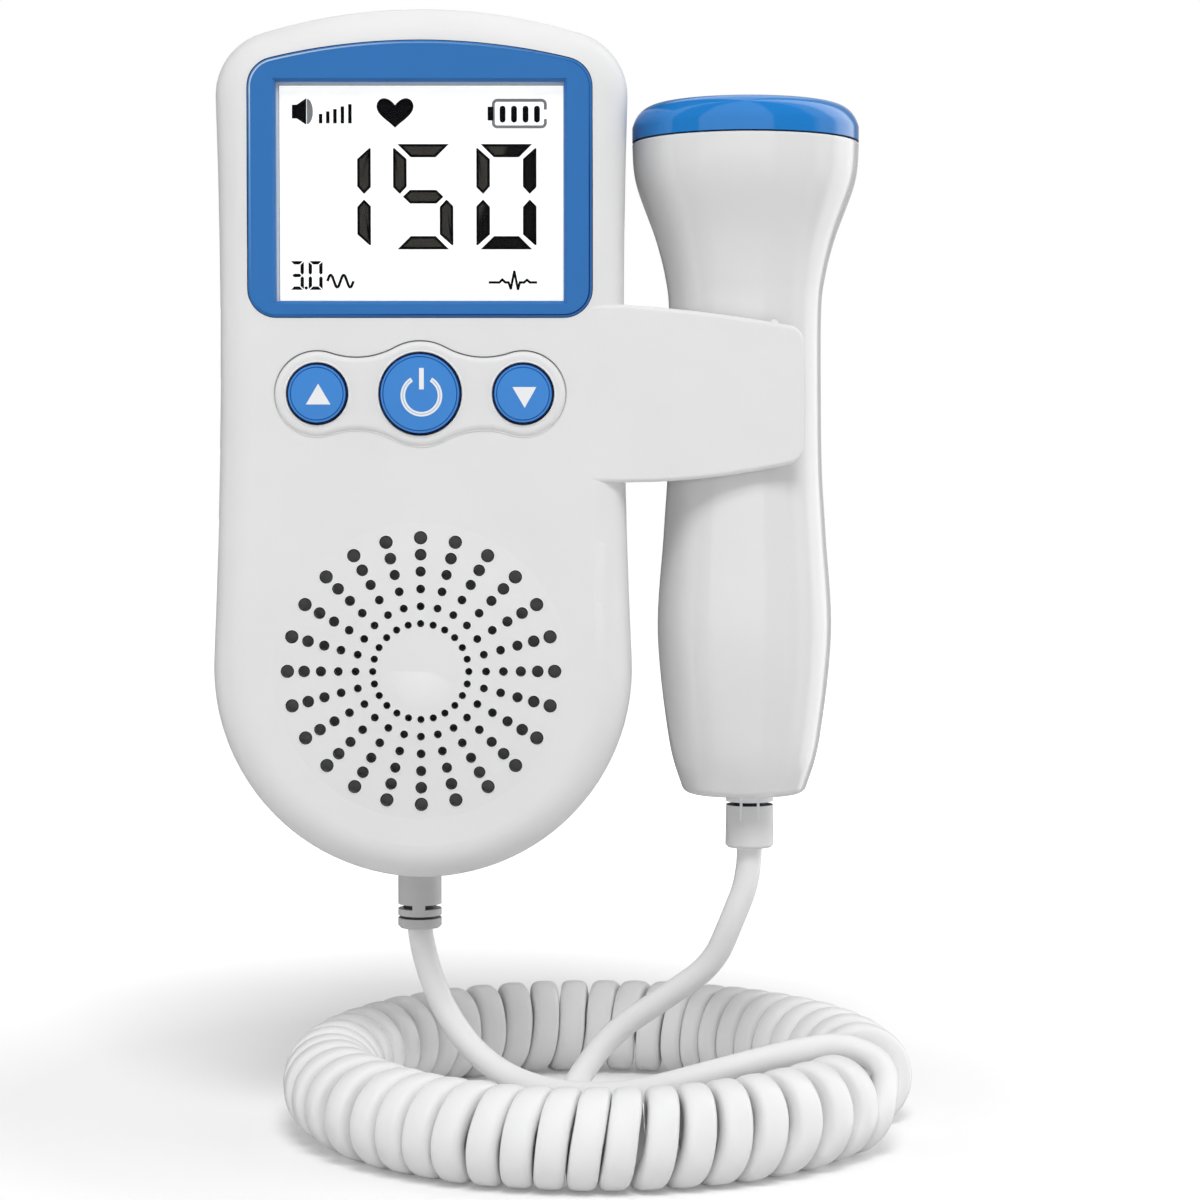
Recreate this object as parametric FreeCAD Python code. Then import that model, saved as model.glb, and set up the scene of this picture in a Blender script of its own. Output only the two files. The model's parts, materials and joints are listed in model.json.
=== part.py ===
import FreeCAD, Part
import math
import os

# Fetal heart-rate monitor: a hand-held display unit, a probe that sits in the unit's side clip,
# and the curly cord that joins them and lies in a ring on the surface below.
# Millimetres.  +X is right as the user sees the screen, +Y points out of the back, +Z is up.
# The origin is on the flat back, on the axis of the loudspeaker and of the housing's round end.

V = FreeCAD.Vector
RIGHT, BACK, UP = V(1, 0, 0), V(0, 1, 0), V(0, 0, 1)

# ---------------------------------------------------------------- driving dimensions: housing
case_depth = 34.0
round_end_radius = 32.6
waist_half_width = 31.3
waist_height = 54.0
crown_height = 102.1
crown_radius = 84.0
shoulder_radius = 10.0
front_edge_radius = 5.5
rear_edge_radius = 5.0
wall = 2.2
parting_depth = 16.0         # from the back face to the joint between the two covers
lip_height = 1.8
lip_thickness = 1.1
fit_gap = 0.12               # between fixed pieces that fit in one another
running_gap = 0.3            # between pieces that move past each other
lip_bite = 0.3               # how far the inner lip is let into the housing's wall
boss_root = 0.5              # how far a boss runs into the wall that carries it
overcut = 1.0                # how far a cutting tool passes the face that it cuts
far_away = 200.0             # half the size of a block that halves a shape

# ---------------------------------------------------------------- screen
bezel_half_width = 26.35
bezel_bottom = 54.45
bezel_crown_margin = 5.5     # from the bezel's top to the housing's
bezel_crown_radius = 98.0
bezel_top_corner = 4.5
bezel_bottom_corner = 4.3
bezel_seat_depth = 1.3
bezel_proud = 0.3
bezel_edge_radius = 0.3
bezel_side_rail = 4.25
bezel_lower_rail = 2.45
bezel_upper_rail = 6.2
window_margin = 1.3          # how far the clear plate reaches behind the bezel
window_thickness = 1.0
window_bevel = 0.45
lcd_margin = 1.8
lcd_thickness = 2.2

# ---------------------------------------------------------------- buttons
button_height = 42.7
button_pitch = 15.8
side_button_radius = 4.62
power_button_radius = 6.25
button_gap = 0.16
button_proud = 1.2           # crown of a button in front of the housing's face
button_crown = 0.35
button_edge = 0.5
button_travel = 0.6
flange_reach = 1.0
flange_thickness = 0.8
stem_radius = 2.2
pad_height = 0.5             # the raised pad round the buttons
pad_edge_radius = 1.2
side_lobe_radius = 6.77
power_lobe_radius = 8.3
lobe_blend_radius = 12.0

# ---------------------------------------------------------------- circuit board
board_front_depth = 25.5     # from the back face to the board's front
board_thickness = 1.6
board_half_width = 28.4
board_bottom = 31.5
board_top_margin = 1.4       # from the window's top to the board's
board_post_x = 26.3
board_post_radius = 1.9
board_post_inset = 4.0
board_corner_radius = 2.0
small_screw_radius = 0.95
small_screw_length = 5.5
small_head_radius = 1.9
small_head_height = 1.3
screw_recess_span = 0.62     # shares of a screw head's radius and height
screw_recess_width = 0.14
screw_recess_floor = 0.45
screw_head_rounding = 0.35
switch_size = 6.0
switch_height = 3.1
plunger_radius = 1.75
plunger_height = 0.7
plunger_depth = 1.3
bore_gap = 0.05
chip_sizes = [(-9.0, 12.8, 10.0, 10.0), (12.0, 9.8, 6.0, 8.0)]   # x, drop from top, width, height
chip_lift = 0.15
chip_thickness = 1.4
chip_leg_pitch = 1.27
chip_leg_width = 0.4
chip_leg_thickness = 0.5
chip_leg_reach = 1.0
capacitor_sizes = [(22.0, 15.8, 3.1, 6.5), (22.0, 7.8, 2.5, 5.5), (1.5, 3.8, 2.0, 4.5)]
crystal_x = -22.5
crystal_drop = 12.8
crystal_width = 4.0
crystal_length = 10.0
crystal_height = 3.4
crystal_end_radius = 1.8
plug_half_width = 4.0
plug_thickness = 4.0
plug_length = 5.5
plug_inset = 0.5
small_edge_radius = 0.4      # on the small components of the board

# ---------------------------------------------------------------- housing screws
case_screw_rows = [(18.0, -17.0), (24.0, 24.0)]
case_screw_top_x = 18.5
case_screw_top_margin = 7.1
case_screw_radius = 1.2
case_screw_length = 14.0
case_head_radius = 2.2
case_head_height = 1.6
case_head_recess = 6.0
screw_tip_gap = 2.0          # between a screw's tip and the end of its hole
front_post_radius = 2.5
rear_post_radius = 3.6

# ---------------------------------------------------------------- loudspeaker and its grille
grille_spokes = 24
grille_ring_radii = [7.4, 10.05, 12.72, 15.4, 18.0, 20.6]
grille_hole_diameters = [1.12, 1.23, 1.37, 1.6, 1.83, 2.08]
dome_radius = 22.9
dome_height = 0.8
speaker_radius = 21.9
speaker_flange_width = 2.4
speaker_flange_thickness = 1.3
speaker_seat_wall = 1.2
speaker_seat_height = 3.2
basket_sheet = 0.8
coil_gap = 0.6               # between the voice coil and the steel round it
magnet_lip = 0.3
cloth_thickness = 0.3
gasket_thickness = 0.6
basket_depth = 8.0
magnet_radius = 9.5
magnet_thickness = 5.0
cone_thickness = 0.4
cone_gap = 0.1
cone_front_gap = 0.15        # from the flange's face to the top of the rolled edge
cone_roll_width = 2.2
cone_roll_height = 0.75
cone_foot_depth = 5.0
dust_cap_height = 2.2
voice_coil_radius = 6.0
voice_coil_length = 1.6

# ---------------------------------------------------------------- batteries and their door
cell_radius = 7.1
cell_length = 50.5
cell_nub_radius = 2.75
cell_nub_height = 1.5
cell_edge = 0.7
cell_spacing = 14.6
spring_length = 4.0
spring_foot_radius = 3.6
spring_tip_radius = 2.3
spring_wall = 0.7
contact_thickness = 0.4
contact_size = 9.0
bay_bottom = 12.0
bay_wall = 1.6
bay_side_wall = 2.5
bay_floor_gap = 0.7
bay_side_gap = 0.3
door_thickness = 1.8
door_gap = 0.25
door_cell_gap = 0.7
door_ledge = 1.3
door_overhang = 1.4
door_tab_half_width = 3.0
door_tab_thickness = 0.85
door_grip_count = 5
door_grip_pitch = 1.8
door_grip_half_width = 6.0
door_grip_depth = 0.6
door_grip_margin = 3.6

# ---------------------------------------------------------------- probe and its clip
probe_head_gap = 1.4         # between the probe's head and the widest part of the waist
probe_y = -18.9
probe_bottom = -20.4
probe_seam = 82.6
probe_crown = 89.35
probe_head_radius = 17.9
probe_waist_radius = 12.25
probe_waist_hollow = 0.2
probe_waist_low = 31.0
probe_waist_middle = 43.0
probe_waist_high = 56.0
probe_throat_radius = 12.65
probe_throat_height = 61.5
probe_neck_radius = 14.2
probe_neck_height = 67.6
probe_shoulder_step = 0.6    # how much narrower the shoulder is than the head
probe_shoulder_height = 76.3
probe_belly_radius = 13.8
probe_belly_height = 5.0
probe_flank_radius = 12.9
probe_flank_height = 20.5
probe_foot_radius = 9.7
probe_foot_rounding = 1.2
probe_taper_radius = 12.0
probe_taper_height = -11.8
probe_wall = 1.8
cap_side_height = 2.4
cap_shoulder_width = 4.7
cap_corner_drop = 0.8
cap_wall = 1.6
cap_swell = 1.15             # how far the cap's shoulder bows out from a straight bevel
cap_skirt = 3.0
clip_gap = 0.4               # between the probe's waist and the clip round it
clip_wall = 2.4
clip_root_depth = 1.0        # how far the clip's root passes the housing's rounded edge
clip_tip_reach = 8.4         # from the probe's axis
clip_root_bottom = 29.1
clip_root_top = 56.4
clip_tip_bottom = 32.4
clip_tip_top = 52.9
clip_bottom_bow = 0.85
clip_top_bow = 0.4
clip_corner_radius = 2.6
clip_edge_radius = 0.7
clip_bend_reach = -4.6
clip_bend_back = 1.2
clip_nub_reach = 3.8
clip_nub_radius = 0.55
clip_nub_rise = 0.16

# ---------------------------------------------------------------- transducer
piezo_margin = 2.28          # from the transducer's rim to the cap's inside
piezo_thickness = 2.0
piezo_split = 0.8
probe_foam_height = 9.0
probe_foam_margin = 0.5
probe_board_width = 15.0
probe_board_thickness = 1.2
probe_board_bottom = 8.0
rail_heights = [11.0, 58.0]
rail_size = 1.6
rail_inset = 0.8             # from the board's long edge to the middle of a rail

# ---------------------------------------------------------------- cord
cord_diameter = 4.0
arc_share = 0.45             # of the shorter of two runs, taken up by the arc between them
unit_gland_x = -1.4
unit_gland_radius = 3.5
unit_gland_end = -42.5
probe_gland_offset = 0.9     # from the probe's axis
probe_gland_radius = 3.75
probe_gland_flare = 0.1
probe_gland_end = -29.1
gland_neck_radius = 2.5
gland_flange_radius = 3.8
gland_flange_thickness = 1.2
gland_flange_gap = 0.5       # between the flange and the inside of the wall
gland_chamfer = 0.4
gland_core_wall = 0.55       # what is left round the cord inside a slot
gland_groove_height = 1.6    # the groove that runs all round, above the sleeve's end
gland_groove_width = 0.45
gland_slot_height = 3.1      # the two slots above it, with a bridge between them
gland_slot_width = 0.75
gland_bridge_half_width = 1.0
probe_slit_drop = 0.6
probe_slit_width = 0.5
probe_slot_length = 2.0
probe_slot_half_width = 0.22
probe_slot_x = 1.3
gland_face_gap = 0.03        # between a sleeve and the outside of its wall
surface_level = -73.95       # what the coil lies on
ring_centre_x = 27.4
ring_centre_y = -18.8
ring_radius = 42.6
helix_outer_radius = 7.85
ring_end_unit = -25.0        # degrees: the end of the ring that the unit's tail runs into
ring_end_probe = -2.0        # degrees: the end that the probe's tail runs into

unit_tail_points = [
    (-1.4, -16.0, -42.5), (-1.4, -16.0, -47.6), (2.4, -16.8, -57.0), (9.6, -20.5, -64.3),
    (19.4, -27.0, -67.2), (32.0, -32.5, -66.3), (46.0, -33.5, -62.3), (58.3, -31.5, -59.5),
    (66.3, -29.6, -58.8), (72.5, -32.6, -61.4),
]
probe_tail_points = [
    (51.5, -18.9, -29.1), (51.5, -18.9, -34.0), (48.8, -18.2, -41.0), (45.8, -15.8, -48.8),
    (38.0, -12.5, -54.7), (29.2, -10.0, -61.1), (23.7, -12.5, -68.3), (21.0, -20.0, -71.95),
    (24.5, -29.0, -71.9), (33.5, -35.0, -71.95), (44.5, -36.2, -71.9), (55.0, -32.6, -71.95),
    (63.4, -26.8, -71.9),
]

# ---------------------------------------------------------------- values worked out from those above
bezel_crown = crown_height - bezel_crown_margin
window_half_width = bezel_half_width - bezel_side_rail
window_bottom = bezel_bottom + bezel_lower_rail
window_top = bezel_crown - bezel_upper_rail
board_top = window_top + board_top_margin
case_screw_places = case_screw_rows + [(case_screw_top_x, crown_height - case_screw_top_margin)]
probe_x = waist_half_width + probe_head_radius + probe_head_gap
probe_gland_x = probe_x + probe_gland_offset
probe_shoulder_radius = probe_head_radius - probe_shoulder_step
cap_corner_radius = probe_head_radius - cap_shoulder_width
cap_skirt_radius = probe_shoulder_radius - probe_wall - fit_gap
piezo_radius = cap_skirt_radius - cap_wall - piezo_margin
clip_tip_x = probe_x + clip_tip_reach
clip_bend_x = probe_x + clip_bend_reach
clip_nub_x = probe_x + clip_nub_reach
front_face = -case_depth
front_inside = front_face + wall
rear_inside = -wall
parting = -parting_depth
board_front = -board_front_depth
board_back = board_front + board_thickness
tangent_angle = 2.0 * math.atan((round_end_radius - waist_half_width) / waist_height)
side_centre_distance = waist_height / math.sin(tangent_angle)
side_radius = side_centre_distance - round_end_radius
crown_centre = V(0, 0, crown_height - crown_radius)
button_specs = [
    ("volume_up", -button_pitch, side_button_radius),
    ("power", 0.0, power_button_radius),
    ("volume_down", button_pitch, side_button_radius),
]


# ================================================================ small tools
def box(x0, x1, y0, y1, z0, z1):
    return Part.makeBox(x1 - x0, y1 - y0, z1 - z0, V(x0, y0, z0))


def rod(x, z, radius, y0, y1):
    """A round bar that runs from front to back."""
    return Part.makeCylinder(radius, y1 - y0, V(x, y0, z), BACK)


def post(x, y, radius, z0, z1):
    """A round bar that stands upright."""
    return Part.makeCylinder(radius, z1 - z0, V(x, y, z0), UP)


def one(shape):
    """The single solid of a shape that must hold just one."""
    solids = shape.Solids
    if len(solids) != 1:
        raise ValueError("expected one solid, found %d" % len(solids))
    return solids[0]


def joined(first, *others):
    return first.multiFuse(list(others)).removeSplitter()


def profile(origin, across, along, start, steps):
    """A flat face: a step of two numbers is a line to a point, one of four is an arc through
    a point to a point, and the last step is joined to the start."""
    def place(u, v):
        return origin + across * u + along * v

    here = place(*start)
    edges = []
    for step in steps:
        end = place(*step[-2:])
        if len(step) == 4:
            edges.append(Part.Arc(here, place(*step[:2]), end).toShape())
        else:
            edges.append(Part.LineSegment(here, end).toShape())
        here = end
    if (here - place(*start)).Length > 1e-6:
        edges.append(Part.LineSegment(here, place(*start)).toShape())
    return Part.Face(Part.Wire(edges))


def turned(origin, along, start, steps):
    """A solid of revolution from (radius, height) steps."""
    across = RIGHT if abs(along.x) < 0.5 else UP
    return profile(origin, across, along, start, steps).revolve(origin, along, 360)


def crown_middle(radius, top, drop):
    """The middle of a round crown's arc, between its top on the axis and its rim, a drop away."""
    ball = (radius ** 2 + drop ** 2) / (2 * drop)
    return (radius / 2, top + ball - math.copysign(math.sqrt(ball ** 2 - radius ** 2 / 4), drop))


def crown_step(radius, top, drop):
    return crown_middle(radius, top, drop) + (radius, top + drop)


def corner_step(radius, height, size):
    """A quarter round that ends at this radius, size above this height."""
    share = 1 - math.sqrt(0.5)
    return (radius - size * share, height + size * share, radius, height + size)


def arc_about(centre, radius, start, end, middle=None):
    """An arc about a centre between two unit directions, through a middle one."""
    middle = middle or (start + end).normalize()
    return Part.Arc(centre + start * radius, centre + middle * radius, centre + end * radius).toShape()


def direction(tail, head):
    return (head - tail).normalize()


def circles_meet(a, radius_a, b, radius_b):
    """The upper of the two points where circles about a and b cross, in the XZ plane."""
    span = (b - a).Length
    reach = (radius_a ** 2 - radius_b ** 2 + span ** 2) / (2 * span)
    rise = math.sqrt(radius_a ** 2 - reach ** 2)
    along = direction(a, b)
    foot = a + along * reach
    side = V(-along.z, 0, along.x) * rise
    return max(foot + side, foot - side, key=lambda point: point.z)


def mirrored(vector):
    return V(-vector.x, vector.y, vector.z)


def half_space(y0, y1):
    """A block that holds all that lies between two planes across the object's depth."""
    return box(-far_away, far_away, y0, y1, -far_away, far_away)


def edges_at(shape, y):
    """The edges that lie in the plane at this y."""
    return [edge for edge in shape.Edges
            if abs(edge.BoundBox.YMin - y) < 1e-4 and abs(edge.BoundBox.YMax - y) < 1e-4]


def corner_edges(shape, low, high):
    """The straight front-to-back edges whose z lies between two heights."""
    found = []
    for edge in shape.Edges:
        bounds = edge.BoundBox
        if bounds.YLength > 0.1 and bounds.XLength < 1e-4 and bounds.ZLength < 1e-4:
            if low <= bounds.ZMin <= high:
                found.append(edge)
    return found


def save(name, *solids):
    shape = solids[0] if len(solids) == 1 else Part.makeCompound(list(solids))
    if not shape.isValid():
        raise ValueError(name + " is not valid")
    os.makedirs("parts", exist_ok=True)
    shape.exportStep("parts/%s.step" % name)
    print("%-22s %2d solid(s) %9.1f mm3" % (name, len(shape.Solids), shape.Volume))


# ================================================================ housing
def housing_slab(inset, y0, y1):
    """The housing's outline, drawn in by an inset, from y0 to y1: a round end, two sides that
    narrow to a waist, two shoulders and a bowed top, each arc tangent to the next."""
    up_right = V(math.cos(tangent_angle), 0, math.sin(tangent_angle))
    side_centre = up_right * side_centre_distance
    shoulder = circles_meet(side_centre, side_radius + shoulder_radius,
                            crown_centre, crown_radius - shoulder_radius)
    to_side = direction(shoulder, side_centre)
    to_crown = direction(crown_centre, shoulder)
    edges = [arc_about(V(0, 0, 0), round_end_radius - inset, mirrored(up_right), up_right, -UP)]
    for flip in (lambda v: v, mirrored):
        edges.append(arc_about(flip(side_centre), side_radius + inset,
                               flip(-up_right), flip(-to_side)))
        edges.append(arc_about(flip(shoulder), shoulder_radius - inset,
                               flip(to_side), flip(to_crown)))
    edges.append(arc_about(crown_centre, crown_radius - inset, to_crown, mirrored(to_crown), UP))
    outline = Part.Wire(Part.__sortEdges__(edges))
    outline.translate(V(0, y0, 0))
    return Part.Face(outline).extrude(V(0, y1 - y0, 0))


def rounded_slab(inset, y0, y1, front_radius, rear_radius):
    slab = housing_slab(inset, y0, y1)
    slab = slab.makeFillet(front_radius, edges_at(slab, y0))
    return slab.makeFillet(rear_radius, edges_at(slab, y1))


def clip_slot(gap, x_end, z0, z1):
    """The U-shaped room for the probe's waist, open to +X."""
    radius = probe_waist_radius + gap
    room = post(probe_x, probe_y, radius, z0, z1)
    return room.fuse(box(probe_x, x_end, probe_y - radius, probe_y + radius, z0, z1))


def clip_front_edges(block, tip_front):
    """The upper, lower and end edges of the clip's front face."""
    found = []
    for edge in block.Edges:
        bounds = edge.BoundBox
        upright = bounds.XLength < 1e-4
        if bounds.YMax < tip_front + 0.01 and bounds.XMax > waist_half_width:
            if not (upright and bounds.XMax < clip_tip_x - 0.1):
                found.append(edge)
    return found


def clip_block():
    """The clip's outer form: two arms joined by a cradle beside the housing."""
    root_x = waist_half_width - front_edge_radius - clip_root_depth
    rear_outer = probe_y + probe_waist_radius + clip_gap + clip_wall
    tip_front = front_face + clip_bend_back
    half_bend = (clip_tip_x - clip_bend_x) / 2
    bend_radius = (4 * half_bend ** 2 + clip_bend_back ** 2) / (2 * clip_bend_back)
    bend_middle = front_face + bend_radius - math.sqrt(bend_radius ** 2 - half_bend ** 2)
    plan = profile(V(0, 0, clip_root_bottom), RIGHT, BACK, (root_x, front_face), [
        (clip_bend_x, front_face),
        (clip_bend_x + half_bend, bend_middle, clip_tip_x, tip_front),
        (clip_tip_x, rear_outer), (root_x, rear_outer)])
    plan = plan.extrude(V(0, 0, clip_root_top - clip_root_bottom))
    bow_x = (waist_half_width + clip_tip_x) / 2
    shape = profile(V(0, front_face, 0), RIGHT, UP, (root_x, clip_root_bottom), [
        (waist_half_width, clip_root_bottom),
        (bow_x, (clip_root_bottom + clip_tip_bottom) / 2 - clip_bottom_bow,
         clip_tip_x, clip_tip_bottom),
        (clip_tip_x, clip_tip_top),
        (bow_x, (clip_root_top + clip_tip_top) / 2 + clip_top_bow, waist_half_width, clip_root_top),
        (root_x, clip_root_top)]).extrude(V(0, case_depth, 0))
    tip_edges = [edge for edge in corner_edges(shape, clip_root_bottom, clip_root_top)
                 if edge.BoundBox.XMin > clip_tip_x - 0.1]
    shape = shape.makeFillet(clip_corner_radius, tip_edges)
    block = one(plan.common(shape))
    block = block.makeFillet(clip_edge_radius, clip_front_edges(block, tip_front))
    tip_share = (clip_nub_x - waist_half_width) / (clip_tip_x - waist_half_width)
    nub_z = clip_root_top + (clip_tip_top - clip_root_top) * tip_share + clip_nub_rise
    nub_y = probe_y - probe_waist_radius - clip_gap - clip_wall / 2
    nub = Part.makeSphere(clip_nub_radius, V(clip_nub_x, nub_y, nub_z))
    return block.fuse(nub)


def housing_shell():
    """The hollow housing with its clip, before it is split into two covers."""
    outer = rounded_slab(0, front_face, 0, front_edge_radius, rear_edge_radius)
    outer = outer.fuse(clip_block())
    cavity = rounded_slab(wall, front_inside, rear_inside,
                          front_edge_radius - wall, rear_edge_radius - wall)
    cradle = probe_waist_radius + clip_gap
    pocket = box(waist_half_width - wall - overcut, probe_x, probe_y - cradle, probe_y + cradle,
                 clip_root_bottom + wall, clip_root_top - wall)
    pocket = pocket.cut(post(probe_x, probe_y, cradle + wall, clip_root_bottom, clip_root_top))
    shell = outer.cut(cavity).cut(pocket)
    return one(shell.cut(clip_slot(clip_gap, clip_tip_x + overcut, clip_root_bottom - overcut,
                                   clip_root_top + overcut)))


def bezel_plate(grow, y0, y1):
    """The bezel's outline with an arched top, larger all round by grow."""
    half = bezel_half_width + grow
    rise = bezel_crown_radius + grow
    centre = bezel_crown - bezel_crown_radius
    side_top = centre + math.sqrt(rise ** 2 - half ** 2)
    plate = profile(V(0, y0, 0), RIGHT, UP, (-half, bezel_bottom - grow), [
        (half, bezel_bottom - grow), (half, side_top), (0, centre + rise, -half, side_top)])
    plate = plate.extrude(V(0, y1 - y0, 0))
    plate = plate.makeFillet(bezel_top_corner + grow, corner_edges(plate, side_top - 1, side_top + 1))
    return plate.makeFillet(bezel_bottom_corner + grow,
                            corner_edges(plate, bezel_bottom - 1, bezel_bottom + 1))


def button_pad():
    """The raised pad round the buttons: three lobes joined by hollow curves."""
    lobe = V(button_pitch, 0, 0)
    blend = circles_meet(V(0, 0, 0), power_lobe_radius + lobe_blend_radius,
                         lobe, side_lobe_radius + lobe_blend_radius)
    from_power = direction(V(0, 0, 0), blend)
    from_side = direction(lobe, blend)

    def below(vector):
        return V(vector.x, vector.y, -vector.z)

    edges = [arc_about(V(0, 0, 0), power_lobe_radius, from_power, mirrored(from_power), UP),
             arc_about(V(0, 0, 0), power_lobe_radius, below(from_power),
                       below(mirrored(from_power)), -UP)]
    for flip in (lambda v: v, mirrored):
        edges.append(arc_about(flip(lobe), side_lobe_radius, flip(from_side),
                               flip(below(from_side)), flip(RIGHT)))
        for turn in (lambda v: v, below):
            edges.append(arc_about(flip(turn(blend)), lobe_blend_radius,
                                   flip(turn(-from_power)), flip(turn(-from_side))))
    outline = Part.Wire(Part.__sortEdges__(edges))
    pad_front = front_face - pad_height
    outline.translate(V(0, pad_front, button_height))
    pad = Part.Face(outline).extrude(V(0, pad_edge_radius + pad_height, 0))
    return pad.makeFillet(pad_edge_radius, edges_at(pad, pad_front))


def grille_holes():
    holes = []
    for radius, diameter in zip(grille_ring_radii, grille_hole_diameters):
        for spoke in range(grille_spokes):
            angle = 2 * math.pi * spoke / grille_spokes
            holes.append(rod(radius * math.sin(angle), radius * math.cos(angle), diameter / 2,
                             front_face - dome_height - overcut, front_inside + overcut))
    return Part.makeCompound(holes)


def speaker_dome():
    """The low round dome that carries the grille's holes."""
    return turned(V(0, 0, 0), BACK, (0, front_face - dome_height), [
        crown_step(dome_radius, front_face - dome_height, dome_height),
        (dome_radius, front_face + wall / 2), (0, front_face + wall / 2)])


def case_screw_spots():
    return [(side * x, z) for x, z in case_screw_places for side in (1, -1)]


def board_screw_spots():
    return [(side * board_post_x, z) for side in (1, -1)
            for z in (board_bottom + board_post_inset, board_top - board_post_inset)]


def cord_hole():
    """The round hole for the cord's strain relief, shared by the two covers."""
    return post(unit_gland_x, parting, gland_neck_radius + fit_gap, -round_end_radius - overcut,
                -round_end_radius + wall + lip_thickness + overcut)


def window_room(y0, y1):
    reach = window_margin + fit_gap
    return box(-window_half_width - reach, window_half_width + reach, y0, y1,
               window_bottom - reach, window_top + reach)


def front_cover(shell):
    cover = one(shell.common(half_space(front_face - overcut, parting)))
    root = front_inside - boss_root
    posts = [rod(x, z, front_post_radius, root, parting) for x, z in case_screw_spots()]
    posts += [rod(x, z, board_post_radius, root, board_front) for x, z in board_screw_spots()]
    seat_top = front_inside + speaker_seat_height
    seat = rod(0, 0, speaker_radius + fit_gap + speaker_seat_wall, root, seat_top)
    seat = seat.cut(rod(0, 0, speaker_radius + fit_gap, root - overcut, seat_top + overcut))
    inside = rounded_slab(wall / 2, front_face + wall / 2, 0,
                          front_edge_radius - wall / 2, rear_edge_radius - wall / 2)
    cover = cover.multiFuse([piece.common(inside) for piece in posts + [seat]]
                            + [button_pad(), speaker_dome()])
    hole_end = -case_head_recess - case_screw_length - screw_tip_gap
    cuts = [rod(x, z, case_screw_radius + bore_gap, hole_end, parting + overcut)
            for x, z in case_screw_spots()]
    cuts += [rod(x, z, small_screw_radius + bore_gap, board_front - small_screw_length,
                 board_front + overcut) for x, z in board_screw_spots()]
    cuts.append(bezel_plate(fit_gap, front_face - overcut, front_face + bezel_seat_depth))
    cuts.append(window_room(front_face, front_inside + overcut))
    cuts += [rod(x, button_height, radius + button_gap, front_face - pad_height - overcut,
                 front_inside + overcut) for name, x, radius in button_specs]
    cuts.append(cord_hole())
    for cut in cuts:
        cover = cover.cut(cut)
    return one(cover.cut(grille_holes()))


def bay_top():
    return bay_bottom + cell_length + spring_length + 2 * contact_thickness


def cell_axis_y():
    return -door_thickness - door_cell_gap - cell_radius


def bay_floor():
    return cell_axis_y() - cell_radius - bay_floor_gap


def bay_half_width():
    return cell_spacing / 2 + cell_radius + bay_side_gap


def door_opening():
    """The shallow opening in the back that the battery door fills: x half width, z low, z high."""
    return (bay_half_width() + door_ledge, bay_bottom + door_overhang, bay_top() + door_ledge)


def cover_lips():
    """The lip inside the rear cover's rim, whose tongue reaches into the front cover."""
    low, high = parting - lip_height, parting + lip_height
    core = housing_slab(wall + lip_thickness, low - overcut, high + overcut)
    lips = housing_slab(wall - lip_bite, parting, high)
    lips = lips.fuse(housing_slab(wall + fit_gap, low, parting + fit_gap)).cut(core)
    lips = lips.cut(box(waist_half_width - wall - lip_thickness - overcut, probe_x, low - overcut,
                        high + overcut, clip_root_bottom + wall - fit_gap, clip_root_top - wall + fit_gap))
    for x, z in case_screw_spots():
        lips = lips.cut(rod(x, z, front_post_radius + fit_gap, low - overcut, parting))
    return lips.cut(post(unit_gland_x, parting, gland_flange_radius + running_gap,
                         -round_end_radius, gland_flange_top(-round_end_radius, wall) + running_gap))


def rear_cover(shell):
    cover = one(shell.common(half_space(parting, overcut)))
    ledge = -door_thickness - door_gap
    outer = bay_half_width() + bay_side_wall
    bay = box(-outer, outer, bay_floor() - bay_wall, rear_inside + boss_root,
              bay_bottom - bay_wall, bay_top() + bay_wall)
    inside = rounded_slab(wall / 2, front_face, -wall / 2, front_edge_radius, rear_edge_radius - wall / 2)
    posts = [rod(x, z, rear_post_radius, parting, rear_inside + boss_root).common(inside)
             for x, z in case_screw_spots()]
    cover = cover.multiFuse([bay, cover_lips()] + posts)
    half, low, high = door_opening()
    cuts = [box(-bay_half_width(), bay_half_width(), bay_floor(), ledge, bay_bottom, bay_top()),
            box(-half, half, ledge, overcut, low, high)]
    for x, z in case_screw_spots():
        cuts.append(rod(x, z, case_head_radius + fit_gap, -case_head_recess, overcut))
        cuts.append(rod(x, z, case_screw_radius + bore_gap, parting - overcut, 0))
    cuts.append(cord_hole())
    for cut in cuts:
        cover = cover.cut(cut)
    return one(cover)


def battery_door():
    half, low, high = door_opening()
    half, low, high = half - door_gap, low + door_gap, high - door_gap
    plate = box(-half, half, -door_thickness, 0, low, high)
    tab_back = -door_thickness - door_gap - door_gap
    tab_front = tab_back - door_tab_thickness
    across = (-door_tab_half_width, door_tab_half_width)
    tab = box(*across, tab_front, tab_back, bay_bottom + door_gap, low + door_overhang)
    bridge = box(*across, tab_front, -door_thickness + fit_gap, low, low + door_overhang)
    latch = box(*across, tab_front, -door_thickness + fit_gap,
                bay_top() - door_overhang - door_gap, bay_top() - door_gap)
    door = joined(plate, tab, bridge, latch)
    for row in range(door_grip_count):
        z = high - door_grip_margin - row * door_grip_pitch
        door = door.cut(box(-door_grip_half_width, door_grip_half_width, -door_grip_depth, overcut,
                            z - door_grip_pitch / 4, z + door_grip_pitch / 4))
    return one(door)


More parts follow.
